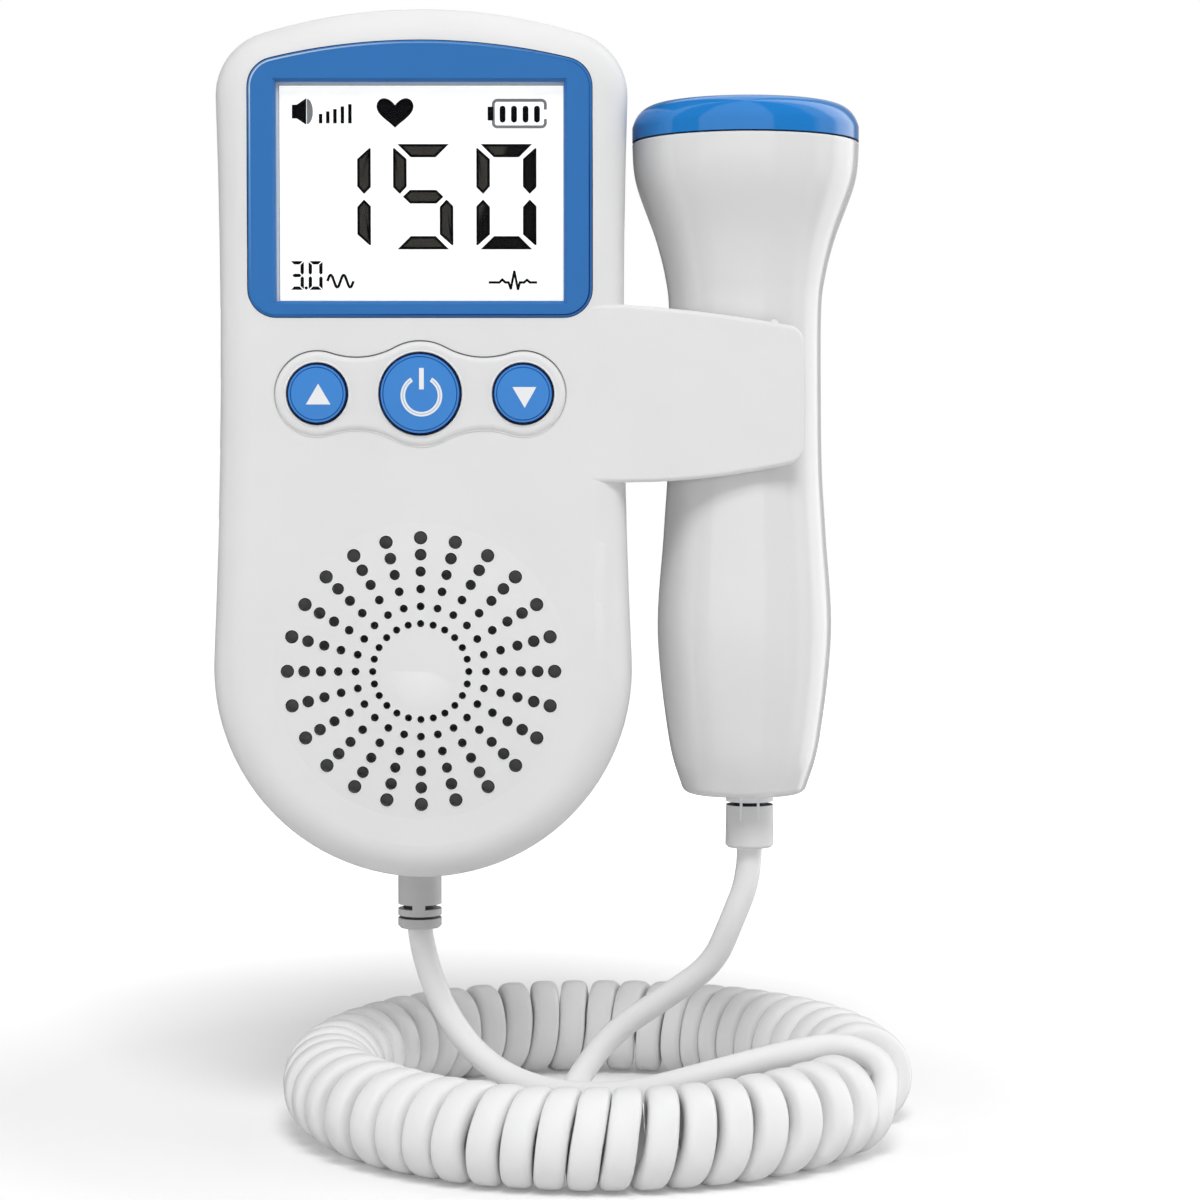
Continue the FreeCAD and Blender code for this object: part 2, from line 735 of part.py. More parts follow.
# ================================================================ screen stack
def screen_bezel():
    plate = bezel_plate(0, front_face - bezel_proud, front_face + bezel_seat_depth)
    flare_front = front_face - bezel_proud
    opening = box(-window_half_width, window_half_width, flare_front - overcut,
                  front_face + bezel_seat_depth + overcut, window_bottom, window_top)
    flare = Part.makeLoft([
        Part.makePolygon([V(-w, y, low), V(w, y, low), V(w, y, high), V(-w, y, high), V(-w, y, low)])
        for y, w, low, high in (
            (flare_front, window_half_width + window_bevel, window_bottom - window_bevel,
             window_top + window_bevel),
            (flare_front + window_bevel, window_half_width, window_bottom, window_top))], True)
    bezel = plate.cut(opening).cut(flare)
    flared_low, flared_high = window_bottom - window_bevel, window_top + window_bevel
    rim = [edge for edge in edges_at(bezel, flare_front)
           if edge.BoundBox.ZMin < flared_low - fit_gap or edge.BoundBox.ZMax > flared_high + fit_gap]
    return one(bezel.makeFillet(bezel_edge_radius, rim))


def window_plate(margin, y0, y1):
    return box(-window_half_width - margin, window_half_width + margin, y0, y1,
               window_bottom - margin, window_top + margin)


# ================================================================ buttons and switches
def plunger_top():
    return board_front - switch_height - plunger_height


def button(x, radius):
    """A domed cap, the flange that keeps it in its hole, and the stem that meets the switch."""
    top = front_face - button_proud
    flange_front = front_inside + running_gap
    return one(turned(V(x, 0, button_height), BACK, (0, top), [
        crown_step(radius - button_edge, top, button_crown),
        corner_step(radius, top + button_crown, button_edge),
        (radius, flange_front), (radius + flange_reach, flange_front),
        (radius + flange_reach, flange_front + flange_thickness),
        (stem_radius, flange_front + flange_thickness), (stem_radius, plunger_top()),
        (0, plunger_top())]))


def plunger(x):
    top = plunger_top()
    return rod(x, button_height, plunger_radius, top, top + plunger_height + plunger_depth)


def tact_switch(x):
    half = switch_size / 2
    body = box(x - half, x + half, board_front - switch_height, board_front,
               button_height - half, button_height + half)
    depth = plunger_depth + button_travel + bore_gap
    top = board_front - switch_height
    return one(body.cut(rod(x, button_height, plunger_radius + bore_gap, top - overcut, top + depth)))


# ================================================================ board
def main_board():
    board = box(-board_half_width, board_half_width, board_front, board_back, board_bottom, board_top)
    board = board.makeFillet(board_corner_radius, corner_edges(board, board_bottom, board_top))
    for x, z in board_screw_spots():
        board = board.cut(rod(x, z, small_screw_radius + fit_gap, board_front - overcut,
                              board_back + overcut))
    return one(board)


def screw(x, z, seat, radius, length, head_radius, head_height):
    """A pan-head screw driven from the back, with a cross recess."""
    body = rod(x, z, radius, seat - length, seat + bore_gap)
    top = seat + head_height
    head = rod(x, z, head_radius, seat, top)
    head = head.makeFillet(head_height * screw_head_rounding, edges_at(head, top))
    arm, slot = head_radius * screw_recess_span, head_radius * screw_recess_width
    floor = seat + head_height * screw_recess_floor
    cross = box(x - arm, x + arm, floor, top + overcut, z - slot, z + slot)
    cross = cross.fuse(box(x - slot, x + slot, floor, top + overcut, z - arm, z + arm))
    return one(joined(body, head).cut(cross))


def board_chips():
    """The processor and the audio amplifier, with their legs, on the back of the board."""
    chips = []
    for x, drop, width, height in chip_sizes:
        z = board_top - drop
        chip = box(x - width / 2, x + width / 2, board_back + chip_lift,
                   board_back + chip_lift + chip_thickness, z - height / 2, z + height / 2)
        reach = width / 2 + chip_leg_reach
        count = int(height / chip_leg_pitch) - 1
        legs = []
        for row in range(count):
            low = z + (row - (count - 1) / 2) * chip_leg_pitch - chip_leg_width / 2
            legs.append(box(x - reach, x + reach, board_back, board_back + chip_leg_thickness,
                            low, low + chip_leg_width))
        chips.append(one(joined(chip, *legs)))
    return chips


def board_capacitors():
    cans = []
    for x, drop, radius, height in capacitor_sizes:
        can = rod(x, board_top - drop, radius, board_back, board_back + height)
        cans.append(can.makeFillet(small_edge_radius, edges_at(can, board_back + height)))
    return cans


def crystal_can():
    middle = board_top - crystal_drop
    low, high = middle - crystal_length / 2, middle + crystal_length / 2
    can = box(crystal_x - crystal_width / 2, crystal_x + crystal_width / 2,
              board_back, board_back + crystal_height, low, high)
    return can.makeFillet(crystal_end_radius, corner_edges(can, low, high))


def cord_plug():
    """The plug that joins the cord's wires to the foot of the board."""
    low = board_bottom + plug_inset
    shell = box(-plug_half_width, plug_half_width, board_back, board_back + plug_thickness,
                low, low + plug_length)
    return shell.makeFillet(small_edge_radius, edges_at(shell, board_back + plug_thickness))


# ================================================================ loudspeaker
def speaker_front():
    return front_inside + cloth_thickness + gasket_thickness


def speaker_gasket():
    disc = rod(0, 0, speaker_radius, front_inside + cloth_thickness, speaker_front())
    return disc.cut(rod(0, 0, speaker_radius - speaker_flange_width, front_inside,
                        speaker_front() + overcut))


def speaker_basket():
    front = speaker_front()
    inner = speaker_radius - speaker_flange_width
    back = front + basket_depth
    hole = voice_coil_radius + coil_gap
    shoulder = front + speaker_flange_thickness
    return one(turned(V(0, 0, 0), BACK, (inner, front), [
        (speaker_radius, front), (speaker_radius, shoulder),
        (inner + basket_sheet, shoulder), (magnet_radius + basket_sheet, back),
        (hole, back), (hole, back - basket_sheet),
        (magnet_radius + magnet_lip, back - basket_sheet), (inner, shoulder)]))


def speaker_cone():
    """The paper cone with its rolled edge, dust cap and voice coil."""
    front = speaker_front()
    outer = speaker_radius - speaker_flange_width - cone_gap
    roll = outer - cone_roll_width
    roll_middle = (roll + outer) / 2
    roll_top = front + cone_front_gap
    roll_foot = roll_top + cone_roll_height
    foot = front + cone_foot_depth
    cap_top = foot - dust_cap_height
    coil_inside = voice_coil_radius - cone_thickness
    cap_floor = cap_top + cone_thickness
    cap_inside = crown_middle(coil_inside, cap_floor, foot - cap_floor) + (0, cap_floor)
    return one(turned(V(0, 0, 0), BACK, (0, cap_top), [
        crown_step(voice_coil_radius, cap_top, dust_cap_height - cone_thickness),
        (roll, roll_foot), (roll_middle, roll_top, outer, roll_foot),
        (outer, roll_foot + cone_thickness),
        (roll_middle, roll_top + cone_thickness, roll, roll_foot + cone_thickness),
        (voice_coil_radius, foot + cone_thickness), (voice_coil_radius, foot + voice_coil_length),
        (coil_inside, foot + voice_coil_length), (coil_inside, foot), cap_inside]))


# ================================================================ batteries
def cell(sign):
    """One AA cell: sign -1 has its plus end up, +1 has it down."""
    x, y = sign * cell_spacing / 2, cell_axis_y()
    if sign < 0:
        plus_end, along = bay_top() - contact_thickness, -UP
    else:
        plus_end, along = bay_bottom + contact_thickness, UP
    can_length = cell_length - cell_nub_height
    can_end = cell_nub_height + can_length
    return one(turned(V(x, y, plus_end), along, (0, 0), [
        (cell_nub_radius, 0), (cell_nub_radius, cell_nub_height),
        (cell_radius - cell_edge, cell_nub_height), (cell_radius, cell_nub_height + cell_edge),
        (cell_radius, can_end - cell_edge), (cell_radius - cell_edge, can_end), (0, can_end)]))


def battery_spring(sign):
    """A contact plate with its conical spring, at the cell's minus end."""
    x, y = sign * cell_spacing / 2, cell_axis_y()
    wall_z, along = (bay_bottom, UP) if sign < 0 else (bay_top(), -UP)
    half = contact_size / 2
    low = min(wall_z, wall_z + along.z * contact_thickness)
    plate = box(x - half, x + half, y - half, y + half, low, low + contact_thickness)
    tip = contact_thickness + spring_length
    cone = turned(V(x, y, wall_z), along, (spring_foot_radius - spring_wall, contact_thickness), [
        (spring_foot_radius, contact_thickness), (spring_tip_radius, tip),
        (spring_tip_radius - spring_wall, tip)])
    return one(joined(plate, cone))


def battery_contact(sign):
    x, y = sign * cell_spacing / 2, cell_axis_y()
    half = contact_size / 2
    low = bay_top() - contact_thickness if sign < 0 else bay_bottom
    return box(x - half, x + half, y - half, y + half, low, low + contact_thickness)


# ================================================================ probe
def probe_side(inset, low):
    """The probe's side from this height above its foot to the seam, as one smooth curve."""
    hollow_radius = probe_waist_radius - probe_waist_hollow
    rows = [
        (probe_foot_radius, low), (probe_taper_radius, probe_taper_height),
        (probe_belly_radius, probe_belly_height), (probe_flank_radius, probe_flank_height),
        (probe_waist_radius, probe_waist_low), (hollow_radius, probe_waist_middle),
        (hollow_radius, probe_waist_high), (probe_throat_radius, probe_throat_height),
        (probe_neck_radius, probe_neck_height), (probe_shoulder_radius, probe_shoulder_height),
        (probe_head_radius, probe_seam)]
    curve = Part.BSplineCurve()
    curve.interpolate([V(probe_x + radius - inset, probe_y, z) for radius, z in rows])
    return curve.toShape()


def probe_form(inset, bottom):
    """The probe's handle as a solid, drawn in by an inset, from this height to the seam."""
    def place(radius, z):
        return V(probe_x + radius, probe_y, z)

    foot = probe_foot_radius - inset
    middle_x, middle_z, foot_x, foot_z = corner_step(foot, bottom, probe_foot_rounding)
    corner = place(foot - probe_foot_rounding, bottom)
    edges = [probe_side(inset, foot_z),
             Part.LineSegment(place(probe_head_radius - inset, probe_seam), place(0, probe_seam)).toShape(),
             Part.LineSegment(place(0, probe_seam), place(0, bottom)).toShape(),
             Part.LineSegment(place(0, bottom), corner).toShape(),
             Part.Arc(corner, place(middle_x, middle_z), place(foot_x, foot_z)).toShape()]
    face = Part.Face(Part.Wire(Part.__sortEdges__(edges)))
    return face.revolve(place(0, 0), UP, 360)


def probe_shells():
    """The front and rear halves of the probe's handle."""
    hollow = probe_form(probe_wall, probe_bottom + probe_wall)
    shell = probe_form(0, probe_bottom).cut(hollow)
    shell = shell.cut(post(probe_gland_x, probe_y, gland_neck_radius + fit_gap,
                           probe_bottom - overcut, probe_bottom + probe_wall + overcut))
    front = shell.common(half_space(-far_away, probe_y))
    rear = shell.common(half_space(probe_y, far_away))
    return one(front), one(rear)


def probe_cap():
    side_top = probe_seam + cap_side_height
    corner_z = probe_crown - cap_corner_drop
    drop, spread = corner_z - side_top, probe_head_radius - cap_corner_radius
    bevel = math.hypot(drop, spread)
    middle = (cap_corner_radius + spread / 2 + cap_swell * drop / bevel,
              side_top + drop / 2 + cap_swell * spread / bevel)
    inner_top = probe_crown - cap_wall
    return one(turned(V(probe_x, probe_y, 0), UP, (0, probe_crown), [
        crown_step(cap_corner_radius, probe_crown, -cap_corner_drop),
        middle + (probe_head_radius, side_top),
        (probe_head_radius, probe_seam), (cap_skirt_radius, probe_seam),
        (cap_skirt_radius, probe_seam - cap_skirt),
        (cap_skirt_radius - cap_wall, probe_seam - cap_skirt), (cap_skirt_radius - cap_wall, side_top),
        (cap_corner_radius - cap_wall, inner_top - cap_corner_drop), (0, inner_top - cap_corner_drop)]))


def piezo_elements():
    """The sending and the receiving half disc behind the cap's face."""
    top = probe_crown - cap_wall - cap_corner_drop
    disc = post(probe_x, probe_y, piezo_radius, top - piezo_thickness, top)
    slot = box(probe_x - piezo_split / 2, probe_x + piezo_split / 2, probe_y - piezo_radius,
               probe_y + piezo_radius, top - piezo_thickness - overcut, top + overcut)
    return disc.cut(slot).Solids


def probe_foam():
    top = probe_crown - cap_wall - cap_corner_drop - piezo_thickness
    return post(probe_x, probe_y, piezo_radius + probe_foam_margin, top - probe_foam_height, top)


def probe_board():
    half = probe_board_width / 2
    top = probe_crown - cap_wall - cap_corner_drop - piezo_thickness - probe_foam_height
    return box(probe_x - half, probe_x + half, probe_y - probe_board_thickness / 2,
               probe_y + probe_board_thickness / 2, probe_board_bottom, top)


def board_rails(y_sign):
    """The ribs inside one half of the handle that hold its board."""
    inside = probe_form(probe_wall / 2, probe_bottom + probe_wall / 2)
    face = probe_y + y_sign * (probe_board_thickness / 2 + fit_gap)
    side = probe_y + y_sign * probe_belly_radius
    reach = probe_board_width / 2 - rail_inset
    rails = []
    for z in rail_heights:
        for x in (probe_x - reach, probe_x + reach):
            rail = box(x - rail_size / 2, x + rail_size / 2, min(face, side), max(face, side),
                       z, z + rail_size)
            rails.append(rail.common(inside))
    return rails


# ================================================================ cord
def gland_flange_top(surface, thickness):
    """The height of the inner flange's upper face, above a wall's outside and its thickness."""
    return surface + thickness + gland_flange_gap + gland_flange_thickness


def gland(x, y, surface, thickness, end, radius, flare):
    """A moulded strain relief: an inner flange, a neck through the wall, a slotted sleeve."""
    flange_top = gland_flange_top(surface, thickness)
    sleeve_top = surface - gland_face_gap
    return one(turned(V(x, y, 0), UP, (0, flange_top), [
        (gland_flange_radius, flange_top), (gland_flange_radius, flange_top - gland_flange_thickness),
        (gland_neck_radius, flange_top - gland_flange_thickness), (gland_neck_radius, sleeve_top),
        (radius, sleeve_top), (radius + flare, end + gland_chamfer),
        (radius + flare - gland_chamfer, end), (0, end)]))


def sleeve_slot(x, y, radius, low, width):
    """A ring cut into a sleeve, down to the core round the cord."""
    core = cord_diameter / 2 + gland_core_wall
    ring = post(x, y, radius + overcut, low, low + width)
    return ring.cut(post(x, y, core, low - overcut, low + width + overcut))


def unit_gland():
    body = gland(unit_gland_x, parting, -round_end_radius, wall, unit_gland_end, unit_gland_radius, 0)
    bridge = box(unit_gland_x - gland_bridge_half_width, unit_gland_x + gland_bridge_half_width,
                 parting - far_away, parting + far_away, unit_gland_end, -round_end_radius)
    groove = sleeve_slot(unit_gland_x, parting, unit_gland_radius,
                         unit_gland_end + gland_groove_height, gland_groove_width)
    slots = sleeve_slot(unit_gland_x, parting, unit_gland_radius,
                        unit_gland_end + gland_slot_height, gland_slot_width)
    return one(body.cut(groove).cut(slots.cut(bridge)))


def probe_gland():
    body = gland(probe_gland_x, probe_y, probe_bottom, probe_wall, probe_gland_end,
                 probe_gland_radius, probe_gland_flare)
    low = probe_bottom - gland_face_gap - probe_slit_drop - probe_slit_width
    body = body.cut(sleeve_slot(probe_gland_x, probe_y, probe_gland_radius, low, probe_slit_width))
    core = cord_diameter / 2 + gland_core_wall
    reach = probe_gland_radius + overcut
    for x in (probe_gland_x - probe_slot_x, probe_gland_x + probe_slot_x):
        for y0, y1 in ((probe_y - reach, probe_y - core), (probe_y + core, probe_y + reach)):
            body = body.cut(box(x - probe_slot_half_width, x + probe_slot_half_width, y0, y1,
                                low - probe_slot_length, low))
    return one(body)


def rounded_route(points):
    """Straight runs joined by arcs that take this share of the shorter run, and the arcs' radii."""
    corners = [V(*point) for point in points]
    edges, radii, here = [], [], corners[0]
    for before, corner, after in zip(corners, corners[1:], corners[2:]):
        back, ahead = direction(corner, before), direction(corner, after)
        half_turn = (math.pi - back.getAngle(ahead)) / 2
        trim = arc_share * min((before - corner).Length, (after - corner).Length)
        radius = trim / math.tan(half_turn)
        radii.append(radius)
        start, end = corner + back * trim, corner + ahead * trim
        inward = (back + ahead).normalize()
        middle = corner + inward * (math.hypot(trim, radius) - radius)
        edges.append(Part.LineSegment(here, start).toShape())
        edges.append(Part.Arc(start, middle, end).toShape())
        here = end
    edges.append(Part.LineSegment(here, corners[-1]).toShape())
    return Part.Wire(edges), radii


def cord_tube(name, points):
    route, radii = rounded_route(points)
    start = V(*points[0])
    section = Part.Wire(Part.Circle(start, direction(start, V(*points[1])), cord_diameter / 2).toShape())
    tube = one(route.makePipeShell([section], True, False))
    expected = math.pi * (cord_diameter / 2) ** 2 * route.Length
    print("%s: length %.1f mm, arc radii %s, volume over section times length %.4f"
          % (name, route.Length, ["%.1f" % radius for radius in radii], tube.Volume / expected))
    return tube


def ring_point(degrees, out=0.0, rise=0.0):
    """A point of the coiled ring: out from its centre line, and above it."""
    angle = math.radians(degrees)
    reach = ring_radius + out
    return (ring_centre_x + reach * math.cos(angle), ring_centre_y + reach * math.sin(angle),
            surface_level + helix_outer_radius + rise)


def curly_cord():
    """The coiled stretch as one tube of the coil's outer diameter, bent into an open ring."""
    centre = V(ring_centre_x, ring_centre_y, surface_level + helix_outer_radius)
    span = 360.0 + ring_end_unit - ring_end_probe
    ring = Part.makeTorus(ring_radius, helix_outer_radius, centre, UP, -180, 180, span)
    ring.rotate(centre, UP, ring_end_probe)
    return one(ring)


# ================================================================ build
shell = housing_shell()
save("front_cover", front_cover(shell))
save("rear_cover", rear_cover(shell))
save("battery_cover", battery_door())
save("screen_bezel", screen_bezel())
bezel_back = front_face + bezel_seat_depth
save("display_window", window_plate(window_margin, bezel_back, bezel_back + window_thickness))
lcd_front = max(bezel_back + window_thickness, front_inside)
save("lcd_panel", window_plate(lcd_margin, lcd_front, lcd_front + lcd_thickness))
save("lcd_backlight", window_plate(window_margin, lcd_front + lcd_thickness, board_front))
for name, x, radius in button_specs:
    save(name + "_button", button(x, radius))
    save(name + "_plunger", plunger(x))
save("tact_switches", *[tact_switch(x) for name, x, radius in button_specs])
save("main_board", main_board())
save("board_screws", *[screw(x, z, board_back, small_screw_radius, small_screw_length, small_head_radius,
                             small_head_height) for x, z in board_screw_spots()])
save("board_chips", *board_chips())
save("board_capacitors", *board_capacitors())
save("crystal_can", crystal_can())
save("cord_plug", cord_plug())
save("case_screws", *[screw(x, z, -case_head_recess, case_screw_radius, case_screw_length,
                            case_head_radius, case_head_height) for x, z in case_screw_spots()])
save("speaker_cloth", rod(0, 0, speaker_radius, front_inside, front_inside + cloth_thickness))
save("speaker_gasket", speaker_gasket())
save("speaker_basket", speaker_basket())
save("speaker_cone", speaker_cone())
save("speaker_magnet", rod(0, 0, magnet_radius, speaker_front() + basket_depth,
                           speaker_front() + basket_depth + magnet_thickness))
save("cell_left", cell(-1))
save("cell_right", cell(1))
save("battery_springs", battery_spring(-1), battery_spring(1))
save("battery_contacts", battery_contact(-1), battery_contact(1))
save("unit_strain_relief", unit_gland())
front_half, rear_half = probe_shells()
save("probe_front_shell", one(joined(front_half, *board_rails(-1))))
save("probe_rear_shell", one(joined(rear_half, *board_rails(1))))
save("probe_cap", probe_cap())
save("piezo_elements", *piezo_elements())
save("probe_foam", probe_foam())
save("probe_board", probe_board())
save("probe_strain_relief", probe_gland())
unit_end = ring_point(ring_end_unit, helix_outer_radius - cord_diameter / 2)
probe_end = ring_point(ring_end_probe, 0, cord_diameter / 2 - helix_outer_radius)
save("cord_tail_unit", cord_tube("cord_tail_unit", unit_tail_points + [unit_end]))
save("cord_tail_probe", cord_tube("cord_tail_probe", probe_tail_points + [probe_end]))
save("curly_cord", curly_cord())
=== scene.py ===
# %% [markdown]
# # A hand-held fetal heart-rate monitor
# The display unit is a white shell with a blue-framed screen, three blue buttons and a round
# loudspeaker grille.  A glossy probe sits in the clip at its side, and a curly cord joins the two.
# The construction comes as a fixed frame of solids.  This notebook dresses it: each cell makes one
# piece or one finish, in metres, in the frame's own place.

# %% Load the frame
import json
import math
import random

import bpy
from mathutils import Matrix, Vector


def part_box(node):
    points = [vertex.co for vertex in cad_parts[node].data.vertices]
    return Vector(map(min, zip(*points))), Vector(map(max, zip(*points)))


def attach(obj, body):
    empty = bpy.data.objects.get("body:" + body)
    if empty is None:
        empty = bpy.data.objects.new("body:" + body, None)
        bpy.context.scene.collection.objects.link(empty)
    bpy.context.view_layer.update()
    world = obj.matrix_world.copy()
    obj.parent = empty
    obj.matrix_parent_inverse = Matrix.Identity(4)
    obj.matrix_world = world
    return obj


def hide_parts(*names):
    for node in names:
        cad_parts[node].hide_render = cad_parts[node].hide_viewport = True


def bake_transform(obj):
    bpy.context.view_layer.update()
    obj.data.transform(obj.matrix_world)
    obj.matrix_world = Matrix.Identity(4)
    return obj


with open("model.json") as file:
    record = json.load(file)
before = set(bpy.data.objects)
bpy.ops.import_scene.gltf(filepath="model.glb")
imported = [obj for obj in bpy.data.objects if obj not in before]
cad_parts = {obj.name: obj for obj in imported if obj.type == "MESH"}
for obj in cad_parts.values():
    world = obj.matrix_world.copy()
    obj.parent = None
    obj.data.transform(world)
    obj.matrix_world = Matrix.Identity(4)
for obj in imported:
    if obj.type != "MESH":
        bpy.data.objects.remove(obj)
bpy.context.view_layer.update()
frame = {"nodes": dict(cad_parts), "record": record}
MM = 0.001

# %% [markdown]
# ## Camera and studio
# The camera stands 475 mm in front of the back plane and looks 2.5 degrees down.  It comes first,
# because the cord has to lie inside its view.  The studio is a white room: the world is white where
# the camera or a clear plate looks at it, and a dimmer, even light for everything else.  A glossy
# surface sees it as panels: a wide one in front, a gap on either side of it, one at each side, with a
# tall bright strip at the right, and dimmer ones behind, with bright strips high up.  Softboxes would
# do the same, but would light the matt housing too, so the panels are painted into the world.  They
# are what makes the probe and its cap look polished.  The floor glows for the camera alone, and less
# near the object, so that it looks white and still takes the shadow.

# %% Camera
CAMERA_PLACE = Vector((27.6, -475.0, 30.4)) * MM
CAMERA_PITCH = 2.518
SENSOR = 36.0
FOCAL_LENGTH = 85.95

camera_data = bpy.data.cameras.new("camera")
camera_data.sensor_width = SENSOR
camera_data.lens = FOCAL_LENGTH
camera = bpy.data.objects.new("camera", camera_data)
camera.location = CAMERA_PLACE
camera.rotation_euler = (math.radians(90 - CAMERA_PITCH), 0, 0)
bpy.context.scene.collection.objects.link(camera)
bpy.context.scene.camera = camera
print("camera: a lens of %.0f mm, %.0f mm away" % (FOCAL_LENGTH, -CAMERA_PLACE.y / MM))

# %% The room's panels
ROOM_LIGHT = 0.27
PANELS = [
    # degrees round the object from the front, to the right; how bright a gloss sees it
    (-180, 0.25), (-170, 0.25), (-160, 0.03),
    (-104, 0.03), (-100, 0.9), (-86, 0.9), (-84, 0.03),
    (-52, 0.03), (-50, 0.45), (25, 0.45), (27, 0.03),
    (70, 0.03), (72, 0.45), (139, 0.45), (147, 0.35), (158, 0.35),
    (162, 0.6), (180, 0.6),
]
STRIPS = [
    # degrees from and to, how soft its sides are, how far it reaches down, how much it adds
    (-50, 25, 0.5, -0.08, 0.45),
    (76, 139, 1.0, -0.32, 0.45),
    (101, 139, 5.0, -0.40, 1.6),
    (-182, -158, 3.0, 0.6, 1.1),
    (160, 182, 3.0, 0.6, 0.7),
]
STRIP_FOOT_SOFT = 0.02
GLOSS_FLOOR = (-0.55, 0.25)     # below this height a gloss sees the room this much dimmer
GLOSS_FLOOR_SOFT = 0.1


def math_node(nodes, links, operation, first, second=None):
    """A Math node between sockets or plain numbers."""
    node = nodes.new("ShaderNodeMath")
    node.operation = operation
    for value, socket in zip((first, second), node.inputs):
        if isinstance(value, bpy.types.NodeSocket):
            links.new(value, socket)
        elif value is not None:
            socket.default_value = value
    return node.outputs[0]


def mix_value(nodes, links, share, low, high):
    node = nodes.new("ShaderNodeMix")
    for value, socket in zip((share, low, high), (node.inputs[0], node.inputs[2], node.inputs[3])):
        if isinstance(value, bpy.types.NodeSocket):
            links.new(value, socket)
        else:
            socket.default_value = value
    return node.outputs[0]


def edge(nodes, links, value, limit, soft):
    """Rises from 0 to 1 round the limit, or falls where soft is negative."""
    node = nodes.new("ShaderNodeMapRange")
    node.inputs["From Min"].default_value = limit - soft
    node.inputs["From Max"].default_value = limit + soft
    links.new(value, node.inputs["Value"])
    return node.outputs["Result"]


def white_room():
    world = bpy.data.worlds.new("white_room")
    world.use_nodes = True
    bpy.context.scene.world = world
    nodes, links = world.node_tree.nodes, world.node_tree.links
    background = nodes["Background"]
    background.inputs["Color"].default_value = (1, 1, 1, 1)
    way = nodes.new("ShaderNodeSeparateXYZ")
    links.new(nodes.new("ShaderNodeTexCoord").outputs["Generated"], way.inputs[0])
    round_way = math_node(nodes, links, "ARCTAN2", way.outputs["X"],
                          math_node(nodes, links, "MULTIPLY", way.outputs["Y"], -1.0))
    panels = nodes.new("ShaderNodeFloatCurve")
    curve = panels.mapping.curves[0]
    brightest = max(level for angle, level in PANELS)
    for index, (angle, level) in enumerate(PANELS):
        place = ((angle + 180) / 360, level / brightest)
        if index in (0, len(PANELS) - 1):
            curve.points[0 if index == 0 else -1].location = place
        else:
            curve.points.new(*place)
    for point in curve.points:
        point.handle_type = "VECTOR"
    panels.mapping.update()
    turned_way = math_node(nodes, links, "ADD",
                           math_node(nodes, links, "DIVIDE", round_way, 2 * math.pi), 0.5)
    links.new(turned_way, panels.inputs["Value"])
    gloss = math_node(nodes, links, "MULTIPLY", panels.outputs[0], brightest)
    for first, last, soft, foot, level in STRIPS:
        inside = math_node(nodes, links, "MULTIPLY",
                           edge(nodes, links, turned_way, (first + 180) / 360, soft / 360),
                           edge(nodes, links, turned_way, (last + 180) / 360, -soft / 360))
        inside = math_node(nodes, links, "MULTIPLY", inside,
                           edge(nodes, links, way.outputs["Z"], foot, STRIP_FOOT_SOFT))
        gloss = math_node(nodes, links, "ADD", gloss, math_node(nodes, links, "MULTIPLY", inside, level))
    foot, dim = GLOSS_FLOOR
    above = edge(nodes, links, way.outputs["Z"], foot, GLOSS_FLOOR_SOFT)
    gloss = math_node(nodes, links, "MULTIPLY", gloss, mix_value(nodes, links, above, dim, 1.0))
    path = nodes.new("ShaderNodeLightPath")
    seen = math_node(nodes, links, "MAXIMUM", path.outputs["Is Camera Ray"],
                     path.outputs["Is Transmission Ray"])
    plain = mix_value(nodes, links, seen, ROOM_LIGHT, 1.0)
    links.new(mix_value(nodes, links, path.outputs["Is Glossy Ray"], plain, gloss),
              background.inputs["Strength"])


white_room()
bpy.context.scene.view_settings.view_transform = "Standard"

# %% White floor
SURFACE = -74.0 * MM            # the height of the surface that the cord lies on
FLOOR_GLOW = (0.18, 0.80)       # near the object, and far from it
GLOW_REACH = (0.07, 0.25)       # metres from the middle


def deselect():
    """Leaves nothing selected and no piece in edit mode."""
    if bpy.context.object and bpy.context.object.mode != "OBJECT":
        bpy.ops.object.mode_set(mode="OBJECT")
    bpy.ops.object.select_all(action="DESELECT")


def white_floor():
    deselect()
    bpy.ops.mesh.primitive_circle_add(vertices=96, radius=6.0, fill_type="NGON",
                                      location=(0, 0, SURFACE))
    floor = bpy.context.object
    floor.name = "floor"
    material = bpy.data.materials.new("pale_floor")
    material.use_nodes = True
    nodes, links = material.node_tree.nodes, material.node_tree.links
    shader = nodes["Principled BSDF"]
    shader.inputs["Base Color"].default_value = (0.86, 0.86, 0.86, 1)
    shader.inputs["Roughness"].default_value = 0.9
    shader.inputs["Specular IOR Level"].default_value = 0.0
    away = nodes.new("ShaderNodeVectorMath")
    away.operation = "LENGTH"
    links.new(nodes.new("ShaderNodeTexCoord").outputs["Object"], away.inputs[0])
    level = nodes.new("ShaderNodeMapRange")
    level.inputs["From Min"].default_value, level.inputs["From Max"].default_value = GLOW_REACH
    level.inputs["To Min"].default_value, level.inputs["To Max"].default_value = FLOOR_GLOW
    links.new(away.outputs["Value"], level.inputs["Value"])
    path = nodes.new("ShaderNodeLightPath")
    glow = nodes.new("ShaderNodeEmission")
    links.new(math_node(nodes, links, "MULTIPLY", path.outputs["Is Camera Ray"],
                        level.outputs["Result"]), glow.inputs["Strength"])
    both = nodes.new("ShaderNodeAddShader")
    links.new(shader.outputs[0], both.inputs[0])
    links.new(glow.outputs[0], both.inputs[1])
    links.new(both.outputs[0], nodes["Material Output"].inputs["Surface"])
    floor.data.materials.append(material)
    floor.visible_glossy = False    # so that the room's panels reach below the horizon in a gloss


white_floor()

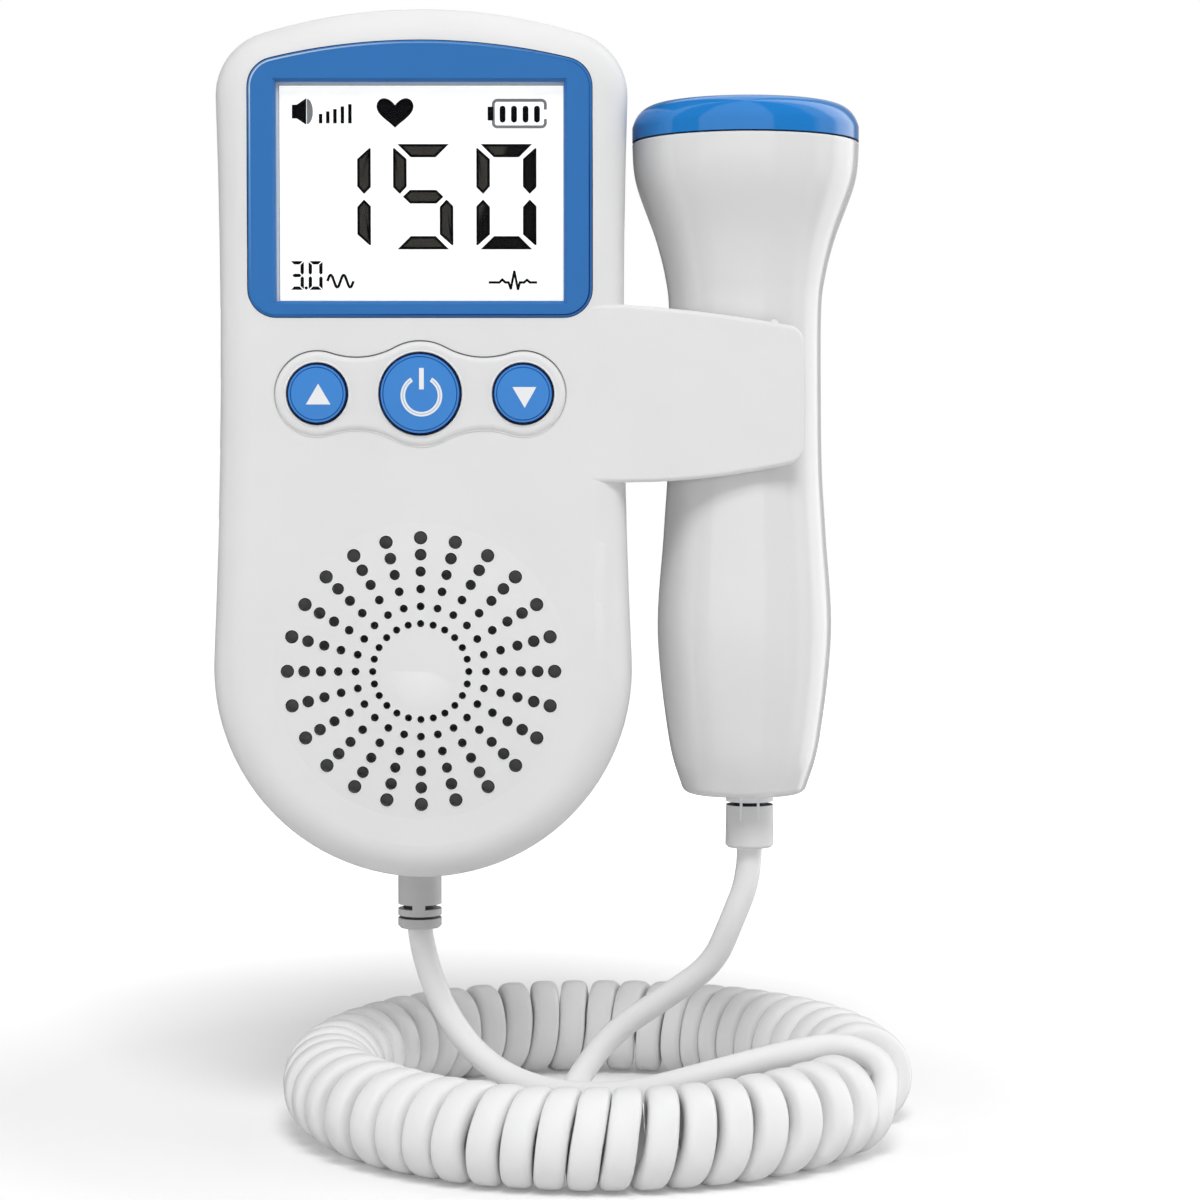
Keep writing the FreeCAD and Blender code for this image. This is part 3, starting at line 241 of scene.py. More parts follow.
# %% Lamps
LAMPS = {
    # name: (place, width, height, watts)
    "key": ((0.10, -0.85, 1.0), 0.5, 0.5, 9.4),
    "left": ((-0.95, -0.35, 0.25), 0.5, 0.9, 2.2),
    "right": ((0.95, -0.25, 0.35), 0.5, 0.9, 2.0),
    "top": ((0.05, 0.15, 0.95), 0.8, 0.5, 1.2),
}
LAMP_TARGET = Vector((20.0, -20.0, 20.0)) * MM

for name, (place, width, height, watts) in LAMPS.items():
    light = bpy.data.lights.new(name, "AREA")
    light.shape = "RECTANGLE"
    light.size = width
    light.size_y = height
    light.energy = watts
    lamp = bpy.data.objects.new(name, light)
    lamp.location = place
    lamp.rotation_euler = (LAMP_TARGET - Vector(place)).to_track_quat("-Z", "Y").to_euler()
    lamp.visible_glossy = False     # a gloss sees the room's panels instead
    bpy.context.scene.collection.objects.link(lamp)
print("studio: %d lamps and %d panels" % (len(LAMPS), len(PANELS)))

# %% [markdown]
# ## Finishes
# Every finish is one Principled shader fed by a little noise in object coordinates.  Moulded plastic
# is never quite even: its colour drifts by a percent or two, its gloss drifts more, and a very fine
# relief from the tool's surface breaks the highlights up.  `plastic` builds that, and the other
# finishes start from it.

# %% A helper for moulded plastic
def noise(nodes, links, place, scale, detail=2.0):
    node = nodes.new("ShaderNodeTexNoise")
    node.inputs["Scale"].default_value = scale
    node.inputs["Detail"].default_value = detail
    links.new(place, node.inputs["Vector"])
    return node.outputs["Fac"]


def ramp(nodes, links, value, low, high, start=0.3, end=0.7):
    """Turns a value into a colour or a number between two ends."""
    node = nodes.new("ShaderNodeMapRange")
    node.inputs["From Min"].default_value = start
    node.inputs["From Max"].default_value = end
    links.new(value, node.inputs["Value"])
    if not isinstance(low, tuple):
        node.inputs["To Min"].default_value = low
        node.inputs["To Max"].default_value = high
        return node.outputs["Result"]
    colour = nodes.new("ShaderNodeMix")
    colour.data_type = "RGBA"
    links.new(node.outputs["Result"], colour.inputs["Factor"])
    # the colour sockets share their names with the number and vector sockets
    colour.inputs[6].default_value = (*low, 1)
    colour.inputs[7].default_value = (*high, 1)
    return colour.outputs[2]


def shade(colour, share):
    return tuple(min(1.0, channel * share) for channel in colour)


def new_material(name):
    material = bpy.data.materials.new(name)
    material.use_nodes = True
    nodes, links = material.node_tree.nodes, material.node_tree.links
    place = nodes.new("ShaderNodeTexCoord").outputs["Object"]
    return material, nodes, links, nodes["Principled BSDF"], place


def add_bump(nodes, links, shader, height, distance, strength=1.0):
    bump = nodes.new("ShaderNodeBump")
    bump.inputs["Distance"].default_value = distance
    bump.inputs["Strength"].default_value = strength
    links.new(height, bump.inputs["Height"])
    links.new(bump.outputs["Normal"], shader.inputs["Normal"])


def plastic(name, colour, roughness, drift=0.015, gloss_drift=0.04, grain=0.006 * MM,
            grain_scale=9000.0, coat=0.0, metallic=0.0, specular=0.5):
    """A moulded or painted surface: colour, gloss and relief that all vary a little."""
    material, nodes, links, shader, place = new_material(name)
    broad = noise(nodes, links, place, 60.0)
    links.new(ramp(nodes, links, broad, shade(colour, 1 - drift), shade(colour, 1 + drift)),
              shader.inputs["Base Color"])
    middle = noise(nodes, links, place, 350.0)
    links.new(ramp(nodes, links, middle, roughness - gloss_drift, roughness + gloss_drift),
              shader.inputs["Roughness"])
    add_bump(nodes, links, shader, noise(nodes, links, place, grain_scale, 1.0), grain)
    shader.inputs["Metallic"].default_value = metallic
    shader.inputs["Coat Weight"].default_value = coat
    shader.inputs["Coat Roughness"].default_value = 0.05
    shader.inputs["Specular IOR Level"].default_value = specular
    return material


# %% Finishes of the outside
FINISHES = {
    "case_white": plastic("case_white", (0.80, 0.80, 0.80), 0.42),
    "probe_white": plastic("probe_white", (0.78, 0.78, 0.78), 0.06, gloss_drift=0.02,
                           grain=0.001 * MM),
    "bezel_blue": plastic("bezel_blue", (0.018, 0.155, 0.455), 0.34),
    "button_blue": plastic("button_blue", (0.045, 0.240, 0.660), 0.40, grain=0.004 * MM),
    # painted navy shade, for the buttons' sides, the cap's seam and the gap round the blue frame
    "navy_painted_shade": plastic("navy_painted_shade", (0.002, 0.010, 0.070), 0.45, specular=0.1),
    # painted shade in the buttons' grooves
    "button_groove_painted_shade": plastic("button_groove_painted_shade", (0.020, 0.115, 0.400), 0.45),
    "cap_blue": plastic("cap_blue", (0.018, 0.210, 0.600), 0.05, gloss_drift=0.02,
                        grain=0.001 * MM),
    "cord_white": plastic("cord_white", (0.90, 0.90, 0.90), 0.38, grain=0.004 * MM),
    "gland_white": plastic("gland_white", (0.58, 0.58, 0.58), 0.45),
    "sleeve_white": plastic("sleeve_white", (0.78, 0.78, 0.78), 0.45),
    "icon_white": plastic("icon_white", (0.86, 0.88, 0.90), 0.40),
    "icon_line": plastic("icon_line", (0.52, 0.62, 0.74), 0.40),
    "ink_black": plastic("ink_black", (0.0025, 0.0025, 0.003), 0.45, specular=0.0),
    "ink_grey": plastic("ink_grey", (0.24, 0.25, 0.26), 0.50, specular=0.0),
    # a pale painted highlight on the clear plate's edge
    "plate_edge_painted_light": plastic("plate_edge_painted_light", (0.62, 0.68, 0.76), 0.30),
}

# %% Finishes of the inside
INSIDE = {
    # slot: (colour, roughness, metallic)
    "light_guide": ((0.80, 0.82, 0.83), 0.30, 0.0),
    "board_green": ((0.020, 0.150, 0.060), 0.40, 0.0),
    "chip_black": ((0.020, 0.020, 0.022), 0.55, 0.0),
    "switch_black": ((0.030, 0.030, 0.033), 0.50, 0.0),
    "can_aluminium": ((0.62, 0.63, 0.64), 0.35, 1.0),
    "screw_steel": ((0.55, 0.55, 0.54), 0.32, 1.0),
    "contact_nickel": ((0.66, 0.64, 0.60), 0.28, 1.0),
    "basket_steel": ((0.45, 0.45, 0.46), 0.38, 1.0),
    "magnet_dark": ((0.045, 0.045, 0.050), 0.60, 0.3),
    "cone_paper": ((0.030, 0.030, 0.030), 0.85, 0.0),
    "cloth_grey": ((0.300, 0.300, 0.295), 0.90, 0.0),
    "gasket_foam": ((0.030, 0.030, 0.030), 0.90, 0.0),
    "plug_white": ((0.72, 0.70, 0.62), 0.45, 0.0),
    "cell_wrap": ((0.050, 0.080, 0.130), 0.25, 0.2),
    "piezo_ceramic": ((0.50, 0.40, 0.24), 0.55, 0.0),
    "foam_grey": ((0.10, 0.10, 0.11), 0.90, 0.0),
}
for slot, (colour, roughness, metallic) in INSIDE.items():
    FINISHES[slot] = plastic(slot, colour, roughness, drift=0.05, metallic=metallic)
print("finishes: %d, of which %d inside" % (len(FINISHES), len(INSIDE)))


# %% [markdown]
# The screen's clear plate is seen straight through.  A shader that lets most of the light pass and
# keeps a thin, sharp gloss shows the display's white as white, which real glass in a path tracer
# would darken.  The display itself is lit from behind by its light guide, so its white also glows.

# %% Clear plate and lit display
CLEAR_SHARE = 0.06
DISPLAY_GLOW = 0.55


def clear_plate():
    material, nodes, links, shader, place = new_material("window_clear")
    shader.inputs["Base Color"].default_value = (0.04, 0.04, 0.05, 1)
    shader.inputs["Alpha"].default_value = CLEAR_SHARE
    smear = noise(nodes, links, place, 90.0)
    links.new(ramp(nodes, links, smear, 0.03, 0.07), shader.inputs["Roughness"])
    return material


def lit_display():
    material, nodes, links, shader, place = new_material("lcd_white")
    cloud = noise(nodes, links, place, 45.0)
    links.new(ramp(nodes, links, cloud, (0.88, 0.88, 0.88), (0.92, 0.92, 0.91)),
              shader.inputs["Base Color"])
    links.new(ramp(nodes, links, cloud, 0.50, 0.60), shader.inputs["Roughness"])
    shader.inputs["Emission Color"].default_value = (1.0, 1.0, 0.99, 1)
    shader.inputs["Emission Strength"].default_value = DISPLAY_GLOW
    return material


FINISHES["window_clear"] = clear_plate()
FINISHES["lcd_white"] = lit_display()


# %% [markdown]
# The figures on the display are printed dark on its white.  The window's soft gloss over them is a
# painted reflection: up and left of a slanting line, the middle of each bar is painted a warm dark
# grey; past the line it is plain black.

# %% Ink with a painted reflection over it
# the slanting edge of the painted reflection
GLOSS_LINE_FOOT = Vector((9.2, 0.0, 70.2)) * MM
GLOSS_LINE_WAY = Vector((4.3, 0.0, 11.2)).normalized()
GLOSS_LINE_SOFT = 0.35 * MM


def painted_reflection_ink():
    material, nodes, links, shader, place = new_material("ink_painted_reflection")
    from_foot = nodes.new("ShaderNodeVectorMath")
    from_foot.operation = "SUBTRACT"
    links.new(place, from_foot.inputs[0])
    from_foot.inputs[1].default_value = GLOSS_LINE_FOOT
    across = nodes.new("ShaderNodeVectorMath")
    across.operation = "DOT_PRODUCT"
    links.new(from_foot.outputs[0], across.inputs[0])
    across.inputs[1].default_value = GLOSS_LINE_WAY.cross(Vector((0, 1, 0)))
    links.new(ramp(nodes, links, across.outputs["Value"], (0.003, 0.003, 0.003), (0.042, 0.039, 0.034),
                   -GLOSS_LINE_SOFT, GLOSS_LINE_SOFT), shader.inputs["Base Color"])
    links.new(ramp(nodes, links, noise(nodes, links, place, 300.0), 0.4, 0.5), shader.inputs["Roughness"])
    shader.inputs["Specular IOR Level"].default_value = 0.05
    return material


FINISHES["ink_painted_reflection"] = painted_reflection_ink()


# %% Dress the frame's own nodes
def dress(piece, *finishes):
    piece.data.materials.clear()
    for finish in finishes:
        piece.data.materials.append(FINISHES[finish])


def tell(piece):
    print("%s: %d faces" % (piece.name, len(piece.data.polygons)))


for part in frame["record"]["subparts"]:
    dress(frame["nodes"][part["node"]], part["material_slot"])

# %% [markdown]
# ## The cord
# One cord runs from the unit's strain relief down to the surface, through the coiled ring, and up to
# the probe.  Its two straight ends are listed routes.  The coil is worked out: a smooth line
# is drawn round the ring, and a loop winds about it, wider spaced in some stretches than in others,
# as a curly cord lies.  All of it is then one smooth spline.

# %% Routes of the straight ends
CORD_DIAMETER = 4.0 * MM
UNIT_TAIL = [
    (-1.4, -16.0, -42.5), (-1.0, -16.0, -46.8), (2.9, -16.8, -57.0), (9.6, -20.5, -64.3),
    (19.4, -27.0, -67.2), (32.0, -32.5, -66.3), (46.0, -33.5, -62.3), (58.3, -31.5, -59.5),
    (66.3, -29.6, -58.8), (72.5, -32.6, -61.4),
]
PROBE_TAIL = [
    (51.5, -18.9, -29.1), (51.5, -18.9, -34.0), (48.8, -18.2, -41.0), (45.8, -15.8, -48.8),
    (38.0, -12.5, -54.7), (29.2, -10.0, -61.1), (23.7, -12.5, -68.3), (21.0, -20.0, -71.95),
    (24.5, -29.0, -71.9), (33.5, -35.0, -71.95), (44.5, -36.2, -71.9), (55.0, -32.6, -71.95),
    (63.4, -26.8, -71.9),
]

# %% The ring and its turns
RING_CENTRE = Vector((27.4, -18.8, -66.1)) * MM
RING_RADIUS = 42.6 * MM
RING_START = -26.5              # degrees, where the unit's end joins, on the outside
RING_END = -362.0               # degrees, where the probe's end leaves, at the bottom
RING_STEPS = 24
LAST_PART = 0.25                # of a turn, from the outside to the bottom
TURN_RADIUS = 5.85 * MM
PRESSED = [
    # degrees, and millimetres off the radius where the turns lie pressed down
    (-25, 0.0), (-50, 0.0), (-75, 0.30), (-110, 0.30), (-150, 0.0), (-362, 0.0),
]
TURN_STEPS = [
    # degrees from one turn to the next: along the front, round the left, along the back
    7.6, 8.8, 8.0, 7.7, 7.0, 6.8, 6.8, 6.9, 5.9, 6.1, 6.0, 6.1, 6.7, 6.2, 6.2, 6.3, 7.7, 8.2,
    7.9, 7.6, 7.4, 7.8, 7.9, 7.4, 7.7, 7.9, 7.6, 7.5, 7.8,
    7.7, 7.8, 7.4, 7.0, 7.3, 6.7, 7.5, 5.8, 5.1, 6.0, 5.7, 6.7, 6.8, 7.5, 7.5, 9.0, 10.6,
]
POINTS_PER_TURN = 12
UNEVEN_TURN = 0.08 * MM
TURN_SEED = 7
SMOOTH_STEPS = 6


def smooth_curve(name, points):
    """An open NURBS curve of order 3 with these control points."""
    data = bpy.data.curves.new(name, "CURVE")
    data.dimensions = "3D"
    data.resolution_u = SMOOTH_STEPS
    spline = data.splines.new("NURBS")
    spline.points.add(len(points) - 1)
    for target, point in zip(spline.points, points):
        target.co = (*point, 1)
    spline.order_u = 3
    spline.use_endpoint_u = True
    curve = bpy.data.objects.new(name, data)
    bpy.context.scene.collection.objects.link(curve)
    return curve


def points_on(name, controls):
    """The points of the smooth line that these control points make."""
    curve = smooth_curve(name, controls)
    bpy.context.view_layer.update()
    mesh = bpy.data.meshes.new_from_object(curve.evaluated_get(bpy.context.evaluated_depsgraph_get()))
    points = [vertex.co.copy() for vertex in mesh.vertices]
    bpy.data.meshes.remove(mesh)
    bpy.data.objects.remove(curve)
    return points


def ring_line():
    """The middle of the coil, from the unit's end to the probe's, as points on a smooth line."""
    span = RING_END - RING_START
    reach = RING_RADIUS / math.cos(math.radians(span / RING_STEPS / 2))
    controls = []
    for step in range(RING_STEPS + 1):
        angle = math.radians(RING_START + span * step / RING_STEPS)
        controls.append(RING_CENTRE + Vector((math.cos(angle), math.sin(angle), 0)) * reach)
    return points_on("ring_line", controls)


def along(points, share):
    """A point at this share of a line's length, and the line's direction there."""
    lengths = [(b - a).length for a, b in zip(points, points[1:])]
    goal = share * sum(lengths)
    for a, b, length in zip(points, points[1:], lengths):
        if goal <= length:
            return a.lerp(b, goal / length), (b - a).normalized()
        goal -= length
    return points[-1].copy(), (points[-1] - points[-2]).normalized()


def between(stations, place):
    """Reads a list of (place, value), whose places fall, at one place."""
    for (a, low), (b, high) in zip(stations, stations[1:]):
        if place >= b:
            return low + (high - low) * (a - place) / (a - b)
    return stations[-1][1]


def turn_places():
    """The ring's angle at every turn, and where one more turn would end."""
    places = [RING_START]
    for step in TURN_STEPS:
        places.append(places[-1] - step)
    return places + [places[-1] + (RING_END - places[-1]) / LAST_PART]


def wound_turns():
    """The control points of the curl: a loop that winds about the ring's line."""
    rng = random.Random(TURN_SEED)
    line = ring_line()
    places = turn_places()
    total = int((len(TURN_STEPS) + LAST_PART) * POINTS_PER_TURN)
    sizes = [rng.uniform(-UNEVEN_TURN, UNEVEN_TURN) for place in places]
    sizes[0] = sizes[-1] = 0.0
    up = Vector((0, 0, 1))
    controls = []
    for index in range(total + 1):
        turn, part = divmod(index / POINTS_PER_TURN, 1.0)
        turn = int(turn)
        after = min(turn + 1, len(places) - 1)
        place = places[turn] * (1 - part) + places[after] * part
        centre, ahead = along(line, min(1.0, (RING_START - place) / (RING_START - RING_END)))
        pressed = between(PRESSED, place) * MM
        size = TURN_RADIUS - pressed + sizes[turn] * (1 - part) + sizes[after] * part
        outward = ahead.cross(up) * -1
        angle = -2 * math.pi * index / POINTS_PER_TURN
        reach = size / math.cos(math.pi / POINTS_PER_TURN)
        controls.append(centre - up * pressed + outward * math.cos(angle) * reach
                        + up * math.sin(angle) * reach)
    return controls


turn_points = wound_turns()
unit_points = [Vector(point) * MM for point in UNIT_TAIL]
probe_points = [Vector(point) * MM for point in PROBE_TAIL]
cord_points = unit_points + turn_points + probe_points[::-1]
cord_line = points_on("cord_line", cord_points)
print("cord: %d control points, %.1f turns" % (len(cord_points), len(turn_points) / POINTS_PER_TURN))

# %% [markdown]
# The cord's section changes: round at the straight ends, and pressed a little flat in the curl, where
# the turns were wound hot round a rod, side by side.  So the tube is built ring by ring along the
# line.  In the curl a ring stands square to the coil's middle, and from there each ring of a straight
# end is turned as little as possible from the one before it, so that the tube never twists.

# %% Rings along the line
RING_SIDES = 20
CURL_HALF_WIDTH = 2.32 * MM
CURL_SQUARENESS = 3.3           # 2 is a circle, and more is squarer
MORPH_TURNS = 0.75
TURN_SHARE = 0.487              # the most of the way to the next turn that a turn's half fills


def nearest(points, target):
    return min(range(len(points)), key=lambda index: (points[index] - target).length_squared)


def coil_middle(point):
    """The nearest point of the ring's circle."""
    flat = Vector((point.x - RING_CENTRE.x, point.y - RING_CENTRE.y, 0)).normalized()
    return RING_CENTRE + flat * RING_RADIUS, flat


def section(half_width, half_height, squareness):
    """The outline of one ring, as steps to the side and outward."""
    outline = []
    for side in range(RING_SIDES):
        angle = 2 * math.pi * side / RING_SIDES
        c, s = math.cos(angle), math.sin(angle)
        outline.append((math.copysign(abs(c) ** (2 / squareness), c) * half_width,
                        math.copysign(abs(s) ** (2 / squareness), s) * half_height))
    return outline


def cord_rings(line, first, last):
    """A ring of points round every point of the line.  The curl lies between first and last."""
    ways = [(line[min(i + 1, len(line) - 1)] - line[max(i - 1, 0)]).normalized() for i in range(len(line))]
    outs = [None] * len(line)
    for index in range(first, last + 1):
        out = line[index] - coil_middle(line[index])[0]
        outs[index] = (out - ways[index] * out.dot(ways[index])).normalized()
    for steps, back in ((range(first - 1, -1, -1), 1), (range(last + 1, len(line)), -1)):
        for index in steps:
            out = outs[index + back]
            outs[index] = (out - ways[index] * out.dot(ways[index])).normalized()
    one_turn = POINTS_PER_TURN * SMOOTH_STEPS
    morph_reach = MORPH_TURNS * one_turn
    points = []
    for index, (place, way, out) in enumerate(zip(line, ways, outs)):
        inside = min(index - first, last - index) / morph_reach
        curl = max(0.0, min(1.0, inside))
        room = min([(line[other] - place).length for other in (index - one_turn, index + one_turn)
                    if first <= other <= last] or [CORD_DIAMETER])
        width = CORD_DIAMETER / 2 + (min(CURL_HALF_WIDTH, room * TURN_SHARE) - CORD_DIAMETER / 2) * curl
        side = way.cross(out)
        for across, outward in section(width, CORD_DIAMETER / 2, 2 + (CURL_SQUARENESS - 2) * curl):
            points.append(place + side * across + out * outward)
    return points


def tube(name, points):
    """Joins the rings to a closed tube."""
    rings = len(points) // RING_SIDES
    faces = [tuple(range(RING_SIDES)), tuple(range((rings - 1) * RING_SIDES, rings * RING_SIDES))[::-1]]
    for ring in range(rings - 1):
        for side in range(RING_SIDES):
            a = ring * RING_SIDES + side
            b = ring * RING_SIDES + (side + 1) % RING_SIDES
            faces.append((a, a + RING_SIDES, b + RING_SIDES, b))
    mesh = bpy.data.meshes.new(name)
    mesh.from_pydata(points, [], faces)
    piece = bpy.data.objects.new(name, mesh)
    bpy.context.scene.collection.objects.link(piece)
    return piece


first_turn = nearest(cord_line, turn_points[0])
last_turn = nearest(cord_line, turn_points[-1])
cord = tube("curly_cord_whole", cord_rings(cord_line, first_turn, last_turn))


def make_active(piece):
    deselect()
    piece.select_set(True)
    bpy.context.view_layer.objects.active = piece


def smooth(piece, degrees):
    """Shades a piece smooth, apart from edges sharper than this."""
    make_active(piece)
    bpy.ops.object.shade_smooth_by_angle(angle=math.radians(degrees))


def face_outwards(piece):
    make_active(piece)
    bpy.ops.object.mode_set(mode="EDIT")
    bpy.ops.mesh.select_all(action="SELECT")
    bpy.ops.mesh.normals_make_consistent(inside=False)
    bpy.ops.object.mode_set(mode="OBJECT")


face_outwards(cord)
smooth(cord, 50)
dress(cord, "cord_white")
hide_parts("cord_tail_unit", "curly_cord", "cord_tail_probe")
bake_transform(cord)

# %% [markdown]
# ## Turned pieces
# The probe, its cap and the buttons are round.  Each is pulled up from a disc: one ring is extruded
# and scaled after the other, as a potter raises a wall, which gives clean quads that shade smoothly.

# %% A body raised from a disc
def turned(name, stations, centre=(0.0, 0.0), sides=96, open_top=False):
    """Raises a body through (radius, height) stations, in millimetres, about an upright axis."""
    deselect()
    x, y = centre
    radius, height = stations[0]
    bpy.ops.mesh.primitive_circle_add(vertices=sides, radius=radius * MM, fill_type="NGON",
                                      location=(x * MM, y * MM, height * MM))
    piece = bpy.context.object
    piece.name = name
    bpy.ops.object.mode_set(mode="EDIT")
    bpy.ops.mesh.select_all(action="SELECT")
    for (old, low), (new, high) in zip(stations, stations[1:]):
        bpy.ops.mesh.extrude_region_move(TRANSFORM_OT_translate={"value": (0, 0, (high - low) * MM)})
        bpy.ops.transform.resize(value=(new / old, new / old, 1),
                                 center_override=(x * MM, y * MM, high * MM))
    if open_top:
        bpy.ops.mesh.delete(type="ONLY_FACE")
    bpy.ops.object.mode_set(mode="OBJECT")
    bpy.ops.object.transform_apply(location=True, rotation=False, scale=False)
    face_outwards(piece)
    return piece


def arc(centre, radius, start, end, steps):
    """Stations on an arc, in degrees from outwards to upwards."""
    points = []
    for step in range(steps + 1):
        angle = math.radians(start + (end - start) * step / steps)
        points.append((centre[0] + radius * math.cos(angle), centre[1] + radius * math.sin(angle)))
    return points


def smooth_side(rows, steps):
    """A smooth line through all rows (a Catmull-Rom curve)."""
    points = []
    for index in range(len(rows) - 1):
        before, a, b, after = (Vector(rows[max(0, min(len(rows) - 1, index + shift))])
                               for shift in (-1, 0, 1, 2))
        for step in range(steps):
            t = step / steps
            points.append(tuple(0.5 * (2 * a + (b - before) * t
                                       + (2 * before - 5 * a + 4 * b - after) * t ** 2
                                       + (3 * a - before - 3 * b + after) * t ** 3)))
    return points + [rows[-1]]


def apply_modifier(piece, kind, **settings):
    make_active(piece)
    modifier = piece.modifiers.new(kind.lower(), kind)
    for key, value in settings.items():
        setattr(modifier, key, value)
    bpy.ops.object.modifier_apply(modifier=modifier.name)


def copy_of(piece, name):
    twin = bpy.data.objects.new(name, piece.data.copy())
    bpy.context.scene.collection.objects.link(twin)
    return twin


def cut_away(piece, place, way):
    """Cuts a closed piece along a plane and keeps the side that the way points from."""
    make_active(piece)
    bpy.ops.object.mode_set(mode="EDIT")
    bpy.ops.mesh.select_all(action="SELECT")
    bpy.ops.mesh.bisect(plane_co=place, plane_no=way, use_fill=True, clear_outer=True)
    bpy.ops.object.mode_set(mode="OBJECT")


# %% [markdown]
# ## The probe's handle
# The handle is a slim vase in two glossy halves that meet along its sides.  One smooth wall is raised,
# given its thickness and cut along the parting plane, and each half gets a fine rounded edge there, so
# that a hairline shows where they meet.

# %% Two halves
PROBE_AXIS = (50.6, -18.9)
PROBE_TOP_ROUNDING = 0.35
FOOT_CORNER, FOOT_ROUNDING = (8.42, -18.8), 1.6
FOOT_SLOPE = -15                # degrees, where the rounding meets the side
PROBE_WALL = 1.8
PARTING_EDGE = 0.10
PROBE_SIDE = [
    # radius, height
    (9.97, -19.21), (12.0, -11.8), (13.8, 5.0), (12.9, 20.5), (12.25, 31.0), (12.05, 43.0),
    (12.05, 56.0), (12.65, 61.5), (14.2, 67.6), (17.3, 76.3), (17.9, 82.25),
]

foot_arc = arc(FOOT_CORNER, FOOT_ROUNDING, -90, FOOT_SLOPE, 6)
top_arc = arc((PROBE_SIDE[-1][0] - PROBE_TOP_ROUNDING, PROBE_SIDE[-1][1]), PROBE_TOP_ROUNDING, 0, 80, 4)
handle = turned("handle", foot_arc[:-1] + smooth_side(PROBE_SIDE, 8) + top_arc[1:], PROBE_AXIS,
                open_top=True)
apply_modifier(handle, "SOLIDIFY", thickness=PROBE_WALL * MM, offset=-1.0, use_even_offset=True)
parting = Vector((0, PROBE_AXIS[1], 0)) * MM
for name, way in (("probe_front_shell", (0, 1, 0)), ("probe_rear_shell", (0, -1, 0))):
    half = copy_of(handle, name + "_look")
    cut_away(half, parting, way)
    apply_modifier(half, "BEVEL", width=PARTING_EDGE * MM, segments=2, limit_method="ANGLE",
                   angle_limit=math.radians(60))
    smooth(half, 40)
    dress(half, "probe_white")
    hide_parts(name)
    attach(half, "probe")
    tell(half)
bpy.data.objects.remove(handle)

# %% [markdown]
# ## The probe's cap
# A blue cap closes the head: a short upright side, a shoulder that bows out, and a nearly flat crown
# that is pressed to the skin.  It is raised as one closed shell, from its inner face round the skirt
# to the crown.

# %% Blue cap
CAP_RADIUS = 17.9
CAP_FOOT = 82.64
CAP_SIDE_TOP = 85.0
CAP_CORNER = (13.2, 88.55)
CAP_CROWN = 89.35
CAP_BOW = 1.15                  # how far the shoulder bows out from a straight bevel
CAP_SKIRT = [(1.0, 86.9), (11.6, 86.6), (13.75, 84.9), (13.75, 79.6), (15.4, 79.6), (15.4, CAP_FOOT)]
CAP_EDGE = 0.22                 # rounding of the lower edge, which shades the seam
CAP_TURN = 0.5                  # softens the turn from side to shoulder
SEAM_RADIUS = 16.0              # outside this radius, the underside is in the seam's shade,
SEAM_SHARE = 0.8                # and so is this share of the lower edge's rounding


def bowed(start, end, bow, steps):
    """Stations on a line that bows outwards by this much."""
    start, end = Vector(start), Vector(end)
    across = Vector((end.y - start.y, start.x - end.x)).normalized()
    points = []
    for step in range(steps + 1):
        t = step / steps
        points.append(tuple(start.lerp(end, t) + across * bow * 4 * t * (1 - t)))
    return points


def crown(corner, top, steps):
    """Stations from a corner to the middle of a slightly domed crown."""
    reach = corner[0]
    return [(reach * (1 - step / steps), top - (top - corner[1]) * (1 - step / steps) ** 2)
            for step in range(1, steps)] + [(0.4, top)]


cap_rows = CAP_SKIRT + [(CAP_RADIUS - CAP_EDGE, CAP_FOOT)]
cap_rows += arc((CAP_RADIUS - CAP_EDGE, CAP_FOOT + CAP_EDGE), CAP_EDGE, -60, 0, 3)
cap_rows += [(CAP_RADIUS, CAP_SIDE_TOP - CAP_TURN)]
cap_rows += bowed((CAP_RADIUS, CAP_SIDE_TOP), CAP_CORNER, CAP_BOW, 12) + crown(CAP_CORNER, CAP_CROWN, 10)
cap = turned("probe_cap_look", cap_rows, PROBE_AXIS)
smooth(cap, 38)
dress(cap, "cap_blue", "navy_painted_shade")
# faces in the seam's shade take the navy of painted shade
for face in cap.data.polygons:
    place = face.center / MM
    reach = math.hypot(place.x - PROBE_AXIS[0], place.y - PROBE_AXIS[1])
    face.material_index = int(reach > SEAM_RADIUS and place.z < CAP_FOOT + CAP_EDGE * SEAM_SHARE)
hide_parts("probe_cap")
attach(cap, "probe")
tell(cap)

# %% [markdown]
# ## Front-facing pieces
# Buttons, signs and figures are easiest to draw lying flat, as on a table: x to the right, y up the
# front, and height towards the viewer.  A quarter turn about the x axis then stands them up on the
# housing, and is applied, so that the piece keeps its place in its mesh.

# %% Plates and standing up
def stand_up(piece):
    """Turns a piece drawn flat so that its height points out of the front."""
    make_active(piece)
    piece.rotation_euler = (math.pi / 2, 0, 0)
    bpy.ops.object.transform_apply(location=False, rotation=True, scale=False)


